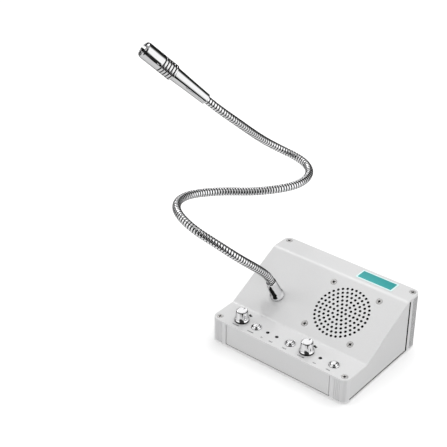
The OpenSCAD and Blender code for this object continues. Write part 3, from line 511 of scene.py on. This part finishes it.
def lathe(name, profile, mat, place, segments=96, soft=0.15, close=False):
    """Turns an outline of (radius, height) in mm round Z and places it with a matrix."""
    prof = softened([Vector(p) for p in profile], soft)
    verts, faces, rows = [], [], []
    for r, z in prof:
        if r < 1e-6:
            rows.append([len(verts)] * segments)
            verts.append(place @ Vector((0, 0, z * MM)))
        else:
            rows.append(list(range(len(verts), len(verts) + segments)))
            for k in range(segments):
                a = 2 * math.pi * k / segments
                verts.append(place @ Vector((r * math.cos(a) * MM, r * math.sin(a) * MM, z * MM)))
    if close:
        rows.append(rows[0])
    for a, b in zip(rows, rows[1:]):
        for k in range(segments):
            n = (k + 1) % segments
            quad = [a[k], a[n], b[n], b[k]]
            quad = [q for i, q in enumerate(quad) if q not in quad[:i]]
            if len(quad) > 2:
                faces.append(quad)
    return add(name, verts, faces, mat)


def cut(obj, cutters, angle=35):
    """Takes the cutters' solids out of obj."""
    for c in cutters:
        mod = obj.modifiers.new("cut", "BOOLEAN")
        mod.operation = "DIFFERENCE"
        mod.solver = "EXACT"
        mod.object = c
    settle(obj, angle)
    for c in cutters:
        bpy.data.objects.remove(c)
    return obj


def rounded_box(name, size, place, mat, r=0.3, segments=3):
    """A box of the given size in mm round its middle, with rounded edges."""
    bm = bmesh.new()
    bmesh.ops.create_cube(bm, size=1)
    bmesh.ops.scale(bm, vec=Vector(size) * MM, verts=bm.verts)
    if r:
        bmesh.ops.bevel(bm, geom=bm.edges, offset=r * MM, segments=segments, affect="EDGES",
                        profile=0.5)
    mesh = bpy.data.meshes.new(name)
    bm.to_mesh(mesh)
    bm.free()
    mesh.transform(place)
    mesh.materials.append(mat)
    shade(mesh, 40)
    return link(bpy.data.objects.new(name, mesh))


def done(obj, body, slot, *replaced):
    if replaced:
        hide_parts(*replaced)
    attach(obj, body)
    return obj


def move(x, y, z):
    return Matrix.Translation((x * MM, y * MM, z * MM))


def joined(name, objs):
    """One object from several of one material."""
    bm = bmesh.new()
    for o in objs:
        bm.from_mesh(o.data)
    mesh = bpy.data.meshes.new(name)
    bm.to_mesh(mesh)
    bm.free()
    for m in objs[0].data.materials:
        mesh.materials.append(m)
    for o in objs:
        bpy.data.objects.remove(o)
    shade(mesh, 35)
    return link(bpy.data.objects.new(name, mesh))


def on_slope(x, u):
    return (move(x, STRIP_Y + u * math.cos(SLOPE), FRONT_H + u * math.sin(SLOPE))
            @ Matrix.Rotation(SLOPE, 4, "X"))


# Housing

def nearest_hole(p):
    """The middle of the speaker hole next to p, in mm in the plane of the slope."""
    ring = min(HOLE_RINGS, round(p.length / HOLE_PITCH))
    if ring == 0:
        return Vector((0, 0))
    part = 2 * math.pi / (6 * ring)
    a = round(math.atan2(p.y, p.x) / part) * part
    return Vector((math.cos(a), math.sin(a))) * ring * HOLE_PITCH


def open_holes(obj, place, wider):
    """Draws the rounded rims of the speaker holes a little apart."""
    back_to = place.inverted()
    for v in obj.data.vertices:
        p = back_to @ v.co / MM
        if p.xy.length > SPEAKER_REACH or abs(p.z) > COVER_T + 0.2:
            continue
        hole = nearest_hole(p.xy)
        off = p.xy - hole
        if 0.5 < off.length < 1.9:
            out = off.normalized() * wider
            v.co = place @ (Vector((p.x + out.x, p.y + out.y, p.z)) * MM)


def roll_fold(obj, y, low, high, reach):
    """Turns the shading normals slowly from the tilt low to the tilt high over the fold at y."""
    first, last = y - reach * math.cos(low), y + reach * math.cos(high)
    mesh = obj.data
    normals = [Vector(n.vector) for n in mesh.corner_normals]
    for f in mesh.polygons:
        if f.normal.z < 0.5 or abs(f.normal.x) > 0.1 or not first < f.center.y / MM < last:
            continue
        for k in f.loop_indices:
            t = (mesh.vertices[mesh.loops[k].vertex_index].co.y / MM - first) / (last - first)
            tilt = low + (high - low) * min(1.0, max(0.0, t))
            normals[k] = Vector((0, -math.sin(tilt), math.cos(tilt)))
    mesh.normals_split_custom_set(normals)


def in_a_hole(c, n):
    """Whether a face of the cover, as the speaker sees it, is the wall of a speaker hole."""
    near = c.xy.length < SPEAKER_REACH and -COVER_T - 0.2 < c.z < 0.1
    return near and (c.xy - nearest_hole(c.xy)).length < 1.85 and abs(n.z) < 0.999


def top_cover():
    """The bent cover, its two folds rolled over and its speaker holes opened a little."""
    level, rise = Vector((0, 1, 0)), Vector((0, math.cos(SLOPE), math.sin(SLOPE)))
    upper, lower = Vector((0, TOP_Y, REAR_H)), Vector((0, STRIP_Y, FRONT_H))
    lines = [((upper - rise * ROLL) * MM, rise), ((upper + level * ROLL) * MM, level),
             ((lower + rise * ROLL) * MM, rise), ((lower - level * ROLL) * MM, level)]
    cover = bevelled("top_cover", 0.3 * MM, 3, 28, lines)
    open_holes(cover, SPEAKER_AT, HOLE_WIDER)
    # Painted shade: the walls of the speaker holes are black
    painted(cover, SHADE_BLACK, in_a_hole, SPEAKER_AT)
    roll_fold(cover, TOP_Y, SLOPE, 0.0, ROLL)
    roll_fold(cover, STRIP_Y, 0.0, SLOPE, ROLL)
    done(cover, "housing", "silver_cover", "top_cover")


def panels():
    """The four panels; the sides have painted shade, dark, in the joint along their rims."""
    for node in ("front_panel", "left_side_panel", "right_side_panel", "rear_panel"):
        panel = bevelled(node, 0.2 * MM, 2, 40)
        if "side" in node:
            # Painted shade on the side panels' rim faces inside the joint
            painted(panel, JOINT_SHADE, lambda c, n: (HALF_W - 1.6 < abs(c.x) < HALF_W - 0.7
                                                and abs(n.x) > 0.5))
        done(panel, "housing", "silver_panel", node)


def posts():
    """The four grooved corner posts; the rear ones have painted shade, black, where they face the
    open joint.
    """
    for node in ("front_left_post", "front_right_post", "rear_left_post", "rear_right_post"):
        post = bevelled(node, 0.12 * MM, 2, 50)
        if "rear" in node:
            painted(post, SHADE_BLACK, lambda c, n: n.y < -0.8 and abs(c.x) > HALF_W - 1.6)
        done(post, "housing", "post_metal", node)


def base_plate():
    base = bevelled("base_plate", 0.25 * MM, 2, 50)
    # Painted shade on the top face, where it shows through the joints
    painted(base, JOINT_SHADE, lambda c, n: n.z > 0.9)
    done(base, "housing", "silver_panel", "base_plate")


HOLE_RINGS, HOLE_PITCH, HOLE_WIDER = 6, 5.1, 0.28
SPEAKER_AT, SPEAKER_REACH = on_slope(31.5, 43.2), 34
ROLL = 2.2
top_cover()
panels()
posts()
base_plate()


# Screws

def screw(mat, length, head=7.4, shank=3.6):
    """A countersunk screw with a cross cut in its head, at the origin with its head up."""
    hr, sr = head / 2, shank / 2
    ht = hr - sr
    obj = lathe("screw", [(0, -0.12), (1.4, -0.08), (hr - 0.25, -0.05), (hr, -0.35),
                          (sr, -0.35 - ht), (sr, -length + 0.5), (sr - 0.5, -length),
                          (0, -length)],
                mat, Matrix(), 64, 0.12)
    arms = []
    for k in (0, 1):
        arms.append(rounded_box("c", (4.2, 0.85, 2.6), Matrix.Rotation(k * math.pi / 2, 4, "Z")
                                @ move(0, 0, -0.1), mat, 0))
    cone = lathe("c", [(0, -2.1), (0.5, -1.9), (1.4, 0.2), (0, 0.2)], mat, Matrix(), 24, 0.0)
    cut(obj, arms + [cone])
    # Painted shade: a dark outline round the head and black inside the cross
    painted(obj, RIM_SHADE, lambda c, n: c.xy.length > hr - 0.32 and c.z > -0.6)
    return painted(obj, SHADE_BLACK, lambda c, n: c.xy.length < 2.3 and -2.3 < c.z < -0.2)


def screws(name, pattern, places):
    """Copies of one screw, each at its place and turned as it came to rest."""
    copies = []
    for k, place in enumerate(places):
        mesh = pattern.data.copy()
        mesh.transform(place @ Matrix.Rotation(0.35 + 0.9 * k, 4, "Z"))
        copies.append(link(bpy.data.objects.new(name, mesh)))
    return joined(name, copies)


def all_screws():
    """The countersunk screws of the cover, the base and the speaker."""
    corner = []
    for side in (-1, 1):
        corner.append((side * (HALF_W - SCREW_X), -HALF_D + SCREW_Y, FRONT_H))
        corner.append((side * (HALF_W - SCREW_X), HALF_D - SCREW_Y, REAR_H))
    bright, black = screw(SCREW, 9), screw(DARK_STEEL, 9)
    done(screws("cover_screws_dressed", bright, [move(*p) for p in corner]), "housing",
         "bright_screw", "cover_screws")
    flip = Matrix.Rotation(math.pi, 4, "X")
    done(screws("base_screws_dressed", black, [move(x, y, FOOT_H) @ flip for x, y, z in corner]),
         "housing", "black_steel", "base_screws")
    square = [(-SPEAKER_SCREW, -SPEAKER_SCREW), (SPEAKER_SCREW, -SPEAKER_SCREW),
              (-SPEAKER_SCREW, SPEAKER_SCREW), (SPEAKER_SCREW, SPEAKER_SCREW)]
    places = [SPEAKER_AT @ move(x, y, 0) for x, y in square]
    done(screws("speaker_screws_dressed", bright, places), "housing", "bright_screw",
         "speaker_screws")
    for pattern in (bright, black):
        bpy.data.objects.remove(pattern)


SCREW_X, SCREW_Y, SPEAKER_SCREW = 6.8, 6.6, 30
all_screws()


# Controls

def knob(side, x):
    """A turned knob with a flared skirt, a slightly sunk top and a notch at its rear edge."""
    z = FRONT_H + 0.5
    at = move(x, ROW, z)
    turned = lathe(side + "_knob_dressed", [
        (0, 4.3), (3.05, 4.3), (3.05, 4.2), (6.0, 4.2), (6.0, 0), (7.9, 0), (8.3, 0.3),
        (8.3, 1.3), (8.1, 1.7), (7.75, 2.3), (7.4, 3.1), (7.15, 4.0), (7.0, 5.0), (6.9, 6.4),
        (6.6, 12.1), (6.35, 12.7), (5.9, 13.0), (5.3, 13.0), (5.1, 12.85), (0, 12.85)],
        KNOB, at, 128, 0.25)
    cut(turned, [rounded_box("notch", (0.9, 5, 1), move(x, ROW + 5.4, z + 13.1), KNOB, 0)])
    # Painted shade: black on the flange's outer wall and inside the notch, and dark chrome round
    # the top's edge
    painted(turned, SHADE_BLACK, lambda c, n: (c.xy.length > 7.8 and c.z < 1.42)
            or (abs(c.x) < 0.46 and c.y > 2.9 and 12.4 < c.z < 12.84), at)
    painted(turned, RIM_SHADE, lambda c, n: c.z > 12.05 and 6.0 < c.xy.length < 6.8, at)
    done(turned, side + "_knob_and_shaft", "chrome_knob", side + "_knob")
    # A thin black ring in the gap under the knob, as painted shade
    shade_ring = lathe(side + "_knob_shade_ring", [(6.2, 31.52), (8.2, 31.52), (8.2, 31.95), (6.2, 31.95)],
                 SHADE_BLACK, move(x, ROW, 0), 96, 0.05, True)
    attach(shade_ring, "housing")


def button(side, x):
    """A push button, a low cone with a rounded top. The ring round it is returned."""
    at = move(x, ROW, 0)
    cap = lathe(side + "_button_dressed", [
        (0, 24.1), (1.5, 24.1), (1.5, 30.9), (4.6, 30.9), (4.6, 32.2), (4.5, 32.5), (3.5, 34.0),
        (3.0, 34.3), (2.2, 34.42), (0, 34.5)], BUTTON, at, 96, 0.3)
    # Painted shade: black on the cap's lower wall, which stands in the ring
    painted(cap, SHADE_BLACK, lambda c, n: c.xy.length > 4.3 and c.z < 32.65, at)
    done(cap, side + "_push_button", "chrome_button", side + "_button")
    ring = lathe("r", [
        (4.85, 28.5), (5.2, 28.5), (5.2, 31.5), (6.0, 31.5), (6.0, 31.95), (5.75, 32.3),
        (5.35, 32.8), (5.2, 32.9), (4.95, 32.9), (4.85, 32.75)], BUTTON, at, 96, 0.1, True)
    # Painted shade: black on the ring's inner wall and round its foot
    return painted(ring, SHADE_BLACK, lambda c, n: (c.xy.length < 4.9
                                            or (c.xy.length > 5.9 and c.z < 31.98)), at)


def lens(x):
    return lathe("l", [
        (0, 20.0), (1.6, 20.0), (1.6, 28.5), (2.0, 28.5), (2.0, 31.62), (1.8, 31.85), (1.2, 32.0),
        (0.6, 32.07), (0, 32.1)], LENS, move(x, ROW, 0), 48, 0.1)


for side, x in KNOBS.items():
    knob(side, x)
rings = [button(side, x) for side, x in BUTTONS.items()]
done(joined("button_rings_dressed", rings), "housing", "chrome_button", "button_rings")
lenses = [lens(x) for x in LAMPS]
done(joined("indicator_lenses_dressed", lenses), "housing", "dark_lens", "indicator_lenses")


# Print

def words(name, text, x, y, z, height, mat):
    """Small printed words on the strip, as a thin mesh."""
    curve = bpy.data.curves.new(name, "FONT")
    curve.body = text
    curve.size = height * MM
    curve.align_x = "CENTER"
    curve.extrude = 0.00002
    curve.offset = 0.00007
    obj = link(bpy.data.objects.new(name, curve))
    deps = bpy.context.evaluated_depsgraph_get()
    mesh = bpy.data.meshes.new_from_object(obj.evaluated_get(deps))
    bpy.data.objects.remove(obj)
    mesh.transform(move(x, y, z))
    mesh.materials.clear()
    mesh.materials.append(mat)
    out = link(bpy.data.objects.new(name, mesh))
    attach(out, "housing")
    return out


def labels():
    """A printed word in front of each control and lamp."""
    printed = (("VOLUME", KNOBS["left"]), ("ON/OFF", BUTTONS["left"]), ("IN", LAMPS[0]),
               ("OUT", LAMPS[1]), ("TALK", BUTTONS["middle"]), ("VOLUME", KNOBS["right"]),
               ("ON", LAMPS[2]), ("CALL", BUTTONS["right"]))
    for i, (text, x) in enumerate(printed):
        words(f"label_{i}", text, x, LABEL_Y, FRONT_H + 0.02, 2.3, INK)


def knob_marks():
    """A dark printed mark behind each knob."""
    for side, x in KNOBS.items():
        place = (move(x + MARK_RIGHT, MARK_Y, FRONT_H + 0.03)
                 @ Matrix.Rotation(MARK_TURN, 4, "Z"))
        mark = rounded_box(side + "_knob_mark", (5.0, 2.8, 0.06), place, DARK_INK, 0.02, 1)
        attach(mark, "housing")


def bare_plate():
    """A bare teal plate with a pale rim on the top strip."""
    x, y = PLATE_AT
    plate = rounded_box("bare_plate_rim", (47, 17, 0.4), move(x, y, REAR_H + 0.2), PALE, 0.15)
    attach(plate, "housing")
    face = rounded_box("bare_plate_face", (43.5, 13.8, 0.12), move(x, y, REAR_H + 0.42), TEAL,
                       0.04)
    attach(face, "housing")


LABEL_Y, PLATE_AT = -65.8, (42.2, 57.4)
MARK_RIGHT, MARK_Y, MARK_TURN = 2.0, -41.3, -0.42
labels()
knob_marks()
bare_plate()


# Neck

OUT = Vector((0, -math.sin(SLOPE), math.cos(SLOPE)))
NECK_IN, STRAIGHT_OUT, STRAIGHT_IN = 8.0, 16.0, 20.0
SOCKET_H = 28.5
SOCKET_AT = on_slope(-47.8, 30)
MOUTH = SOCKET_AT @ Vector((0, 0, SOCKET_H * MM)) / MM
END = Vector((-117, 28, 177))
AIM = Vector((-0.46, -0.56, 0.69)).normalized()
ROUTE = [Vector(p) for p in (
    (-10, -43, 46), (-31, -58, 65), (-49, -66, 75), (-74, -65, 83), (-96, -51, 84),
    (-106, -26, 82), (-101, 2, 76), (-86, 24, 74), (-67, 44, 71), (-49, 65, 71),
    (-33, 96, 70), (-39, 128, 71), (-62, 141, 75), (-85, 133, 83), (-97, 114, 98),
    (-100, 90, 118), (-100, 62, 142))]


def middle_line():
    """The neck's middle line in mm: a smooth curve through the guides, straight at its ends."""
    guides = [-STRAIGHT_OUT * OUT, Vector(), STRAIGHT_OUT * OUT] + ROUTE + [
        END - STRAIGHT_IN * AIM, END, END + STRAIGHT_IN * AIM]
    points = [MOUTH - OUT * NECK_IN]
    for a, b, c, d in zip(guides, guides[1:], guides[2:], guides[3:]):
        for k in range(CURVE_STEPS):
            t = k / CURVE_STEPS
            points.append(MOUTH + ((1 - t) ** 3 * a + (3 * t ** 3 - 6 * t * t + 4) * b
                                   + (-3 * t ** 3 + 3 * t * t + 3 * t + 1) * c + t ** 3 * d) / 6)
    return points + [MOUTH + END, MOUTH + END + AIM * NECK_IN]


CURVE_STEPS = 40
line = middle_line()
along = [0.0]
for a, b in zip(line, line[1:]):
    along.append(along[-1] + (b - a).length)
NECK_LEN = along[-1]


def place_at(s):
    s = max(0.0, min(NECK_LEN, s))
    lo, hi = 0, len(along) - 1
    while hi - lo > 1:
        mid = (lo + hi) // 2
        if along[mid] <= s:
            lo = mid
        else:
            hi = mid
    t = (s - along[lo]) / (along[hi] - along[lo])
    return line[lo].lerp(line[hi], t)


def heading(s):
    return (place_at(s + 1) - place_at(s - 1)).normalized()


BENDS = (0.08, 0.24, 0.41, 0.57, 0.74, 0.90)
bend_at = [NECK_IN + b * (NECK_LEN - 2 * NECK_IN) for b in BENDS]
R_OUT, DEPTH, SIDES = 4.6, 0.66, 28
# Places along one rib, from the middle of its groove to the next
STEPS = (0.0, 0.08, 0.14, 0.20, 0.35, 0.5, 0.65, 0.80, 0.86, 0.92)


def rib_stations():
    """Where the grooves lie: a little closer in the middle of the neck, wider at its upper end."""
    stations = [0.0]
    while stations[-1] < NECK_LEN:
        t = stations[-1] / NECK_LEN
        wide = max(0.0, 1 - abs(t - 0.86) / 0.16)
        close = max(0.0, 1 - abs(t - 0.50) / 0.22)
        stations.append(stations[-1] + 3.4 + 0.9 * wide - 0.35 * close)
    scale = NECK_LEN / stations[-1]
    return [s * scale for s in stations]


RIBS = rib_stations()


def nearest_rib(s):
    return min(range(len(RIBS)), key=lambda i: abs(RIBS[i] - s))


def neck_piece(name, s0, s1):
    """A ribbed length of the neck between two rib bottoms, open at its ends."""
    n0, n1 = nearest_rib(s0), nearest_rib(s1)
    verts, faces, grooves = [], [], []
    count = (n1 - n0) * len(STEPS)
    for i in range(count + 1):
        phase = STEPS[i % len(STEPS)]
        rib = n0 + i // len(STEPS)
        pitch = RIBS[min(rib + 1, len(RIBS) - 1)] - RIBS[rib]
        s = RIBS[rib] + phase * pitch
        off = min(phase, 1 - phase)
        r = R_OUT - DEPTH * min(1.0, max(0.0, (0.16 - off) / 0.09)) - 0.06 * (1 - 2 * off) ** 2
        c, t = place_at(s), heading(s)
        u = Vector((0, 0, 1)).cross(t).normalized()
        v = t.cross(u)
        for k in range(SIDES):
            a = 2 * math.pi * k / SIDES
            verts.append((c + r * (math.cos(a) * u + math.sin(a) * v)) * MM)
            grooves.append(1.0 if off < 0.15 else 0.0)
    for i in range(count):
        for k in range(SIDES):
            n = (k + 1) % SIDES
            faces.append((i * SIDES + k, i * SIDES + n, (i + 1) * SIDES + n, (i + 1) * SIDES + k))
    piece = add(name, verts, faces, NECK, 50)
    # The groove attribute marks where the neck's material paints shade into the grooves
    groove_shade_mask = piece.data.attributes.new("groove", "FLOAT", "POINT")
    groove_shade_mask.data.foreach_set("value", grooves)
    return piece


def neck():
    """Six ribbed runs, each holding one of the neck's joints."""
    middles = [(a + b) / 2 for a, b in zip(bend_at, bend_at[1:])]
    cuts = [0.0] + middles + [NECK_LEN]
    for i in range(6):
        piece = neck_piece(f"neck_run_{i + 1}", cuts[i], cuts[i + 1])
        stands = [f"neck_flex_{i + 1}", f"neck_tube_{i + 1}"]
        if i == 5:
            stands.append("neck_tube_7")
        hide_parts(*stands)
        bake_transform(piece)


def neck_socket():
    """The turned collar that the neck stands in, with painted shade at its seat and a rubber
    mouth.
    """
    h = SOCKET_H
    socket = lathe("neck_socket_dressed", [
        (2.5, -9), (5.0, -9), (5.0, 0), (7.6, 0), (8.15, 0.5), (8.15, 2.4), (7.9, 3.2),
        (7.35, 4.6), (6.95, 6.4), (5.8, h - 4), (5.7, h - 0.9), (5.3, h - 0.1), (4.85, h),
        (4.75, h - 0.4), (4.75, h - NECK_IN - 0.2), (2.5, h - NECK_IN - 0.2)],
        COLLAR, SOCKET_AT, 128, 0.3, True)
    done(socket, "housing", "chrome_turned", "neck_socket")
    # Painted shade: a black band round the collar's foot
    painted(socket, SHADE_BLACK, lambda c, n: c.xy.length > 7.7 and -0.1 < c.z < 0.9, SOCKET_AT)
    mouth = lathe("socket_mouth_ring", [
        (4.72, h - 0.5), (5.35, h - 0.45), (5.3, h - 0.02), (5.0, h + 0.12), (4.72, h + 0.05)],
        RUBBER, SOCKET_AT, 96, 0.1, True)
    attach(mouth, "housing")


neck()
neck_socket()


# Microphone

heading_of_aim, tilt = math.atan2(AIM.y, AIM.x), math.acos(AIM.z)
MIC = (Matrix.Translation((MOUTH + END) * MM) @ Matrix.Rotation(heading_of_aim, 4, "Z")
       @ Matrix.Rotation(tilt, 4, "Y"))
STEM, SLEEVE, HEAD, R_HEAD, WALL = 49.0, 18.5, 25.5, 9.5, 1.4
SLOT_W, SLOT_FROM, SLEEVE_RINGS = 3.2, 2.5, 5


def mic_stem():
    stem = lathe("mic_stem_dressed", [
        (4.75, 0.2), (4.95, 0), (5.9, 0), (6.4, 0.5), (6.4, 3), (6.48, 5), (7.0, 22),
        (7.75, STEM - 6), (8.0, STEM - 0.6), (7.8, STEM), (6.25, STEM), (6.25, STEM + 6),
        (2.5, STEM + 6), (2.5, 8.2), (4.75, 8.2)], TURNED, MIC, 128, 0.3, True)
    done(stem, "microphone", "chrome_turned", "mic_stem")


def mic_sleeve():
    """The sleeve with five rings and painted shade, black, in the grooves between them."""
    place = MIC @ move(0, 0, STEM)
    outline = [(6.35, 0), (R_HEAD - 0.6, 0), (R_HEAD, 0.5)]
    pitch = SLEEVE / SLEEVE_RINGS
    for i in range(1, SLEEVE_RINGS + 1):
        top = i * pitch
        outline += [(R_HEAD, top - pitch * 0.36), (R_HEAD - 1.0, top - pitch * 0.30),
                    (R_HEAD - 1.0, top - pitch * 0.06), (R_HEAD, top)]
    inner = R_HEAD - WALL
    outline += [(inner - 0.05, SLEEVE), (inner - 0.05, SLEEVE + 6), (inner - 1.6, SLEEVE + 6),
                (inner - 1.6, 7), (6.35, 7)]
    sleeve = lathe("mic_sleeve_dressed", outline, TURNED, place, 128, 0.22, True)
    # Painted shade in the grooves between the rings
    painted(sleeve, SHADE_BLACK, lambda c, n: (R_HEAD - 1.2 < c.xy.length < R_HEAD - 0.45
                                       and 1 < c.z < SLEEVE), place)
    done(sleeve, "microphone", "chrome_turned", "mic_sleeve")


def mic_head():
    """The head, with four slots cut into it from its rim."""
    inner = R_HEAD - WALL
    head = lathe("mic_head_dressed", [
        (inner, 0), (R_HEAD - 0.3, 0), (R_HEAD, 0.3), (R_HEAD, HEAD - 2.5),
        (R_HEAD - 0.7, HEAD - 0.8), (R_HEAD - 2.2, HEAD), (inner - 2.4, HEAD),
        (inner - 2.4, HEAD - 1.4), (inner, HEAD - 3)], TURNED, HEAD_AT, 128, 0.25, True)
    slots = []
    for k in range(4):
        spot = (HEAD_AT @ Matrix.Rotation(k * math.pi / 2, 4, "Z")
                @ move(9, 0, SLOT_FROM + HEAD / 2))
        slots.append(rounded_box("slot", (12, SLOT_W, HEAD), spot, TURNED, 0))
    cut(head, slots)
    done(head, "microphone", "chrome_turned", "mic_head")


def mic_capsule():
    capsule = lathe("mic_capsule_dressed", [
        (0, 0), (6.45, 0), (6.45, 6.1), (7.45, 6.1), (7.45, HEAD - 10), (7.0, HEAD - 9.2),
        (5.6, HEAD - 9.0), (5.2, HEAD - 9.6), (0, HEAD - 9.6)], RUBBER, HEAD_AT, 64, 0.3)
    done(capsule, "microphone", "black_rubber", "mic_capsule")


HEAD_AT = MIC @ move(0, 0, STEM + SLEEVE)
mic_stem()
mic_sleeve()
mic_head()
mic_capsule()


# Rear sockets

for n in ("power_socket", "second_station_socket", "record_socket"):
    done(bevelled(n, 0.25 * MM, 2, 40), "housing", "black_plastic", n)


# Floor

def floor():
    """A pale floor. The camera sees a little more than its lit colour, so that it ends in the
    white background and still keeps the shadow. Reflections take the table from the world."""
    bm = bmesh.new()
    bmesh.ops.create_grid(bm, x_segments=4, y_segments=4, size=6)
    mesh = bpy.data.meshes.new("floor")
    bm.to_mesh(mesh)
    bm.free()
    mat = material("floor_paper", (0.93, 0.93, 0.93), rough=0.85, grain=3, grain_amount=0.004,
                   specular=0.1)
    tree = Tree(mat)
    seen = tree.new("LightPath").outputs["Is Camera Ray"]
    surface(mat).inputs["Emission Color"].default_value = (1, 1, 1, 1)
    tree.put(surface(mat).inputs["Emission Strength"], tree.math("MULTIPLY", seen, FLOOR_GLOW))
    mesh.materials.append(mat)
    obj = link(bpy.data.objects.new("floor", mesh))
    obj.location.z = -0.0002
    obj.visible_glossy = False


def dark_card():
    """A small black card over the slope that only reflections see: it gives the collar of the
    neck the dark stroke that it has in the studio."""
    outline = [(-15, -11), (-11, -21), (-5, -28), (0, -30), (6, -26), (11, -17), (10, -9), (3, -8),
               (-6, -12)]
    mesh = bpy.data.meshes.new("dark_card")
    spot = SOCKET_AT @ move(0, 0, 3)
    mesh.from_pydata([spot @ (Vector((x, u, 0)) * MM) for x, u in outline], [],
                     [list(range(len(outline)))])
    mesh.materials.append(SHADE_BLACK)
    card = link(bpy.data.objects.new("dark_card", mesh))
    card.visible_camera = card.visible_shadow = card.visible_diffuse = False


FLOOR_GLOW = 0.12
floor()
dark_card()
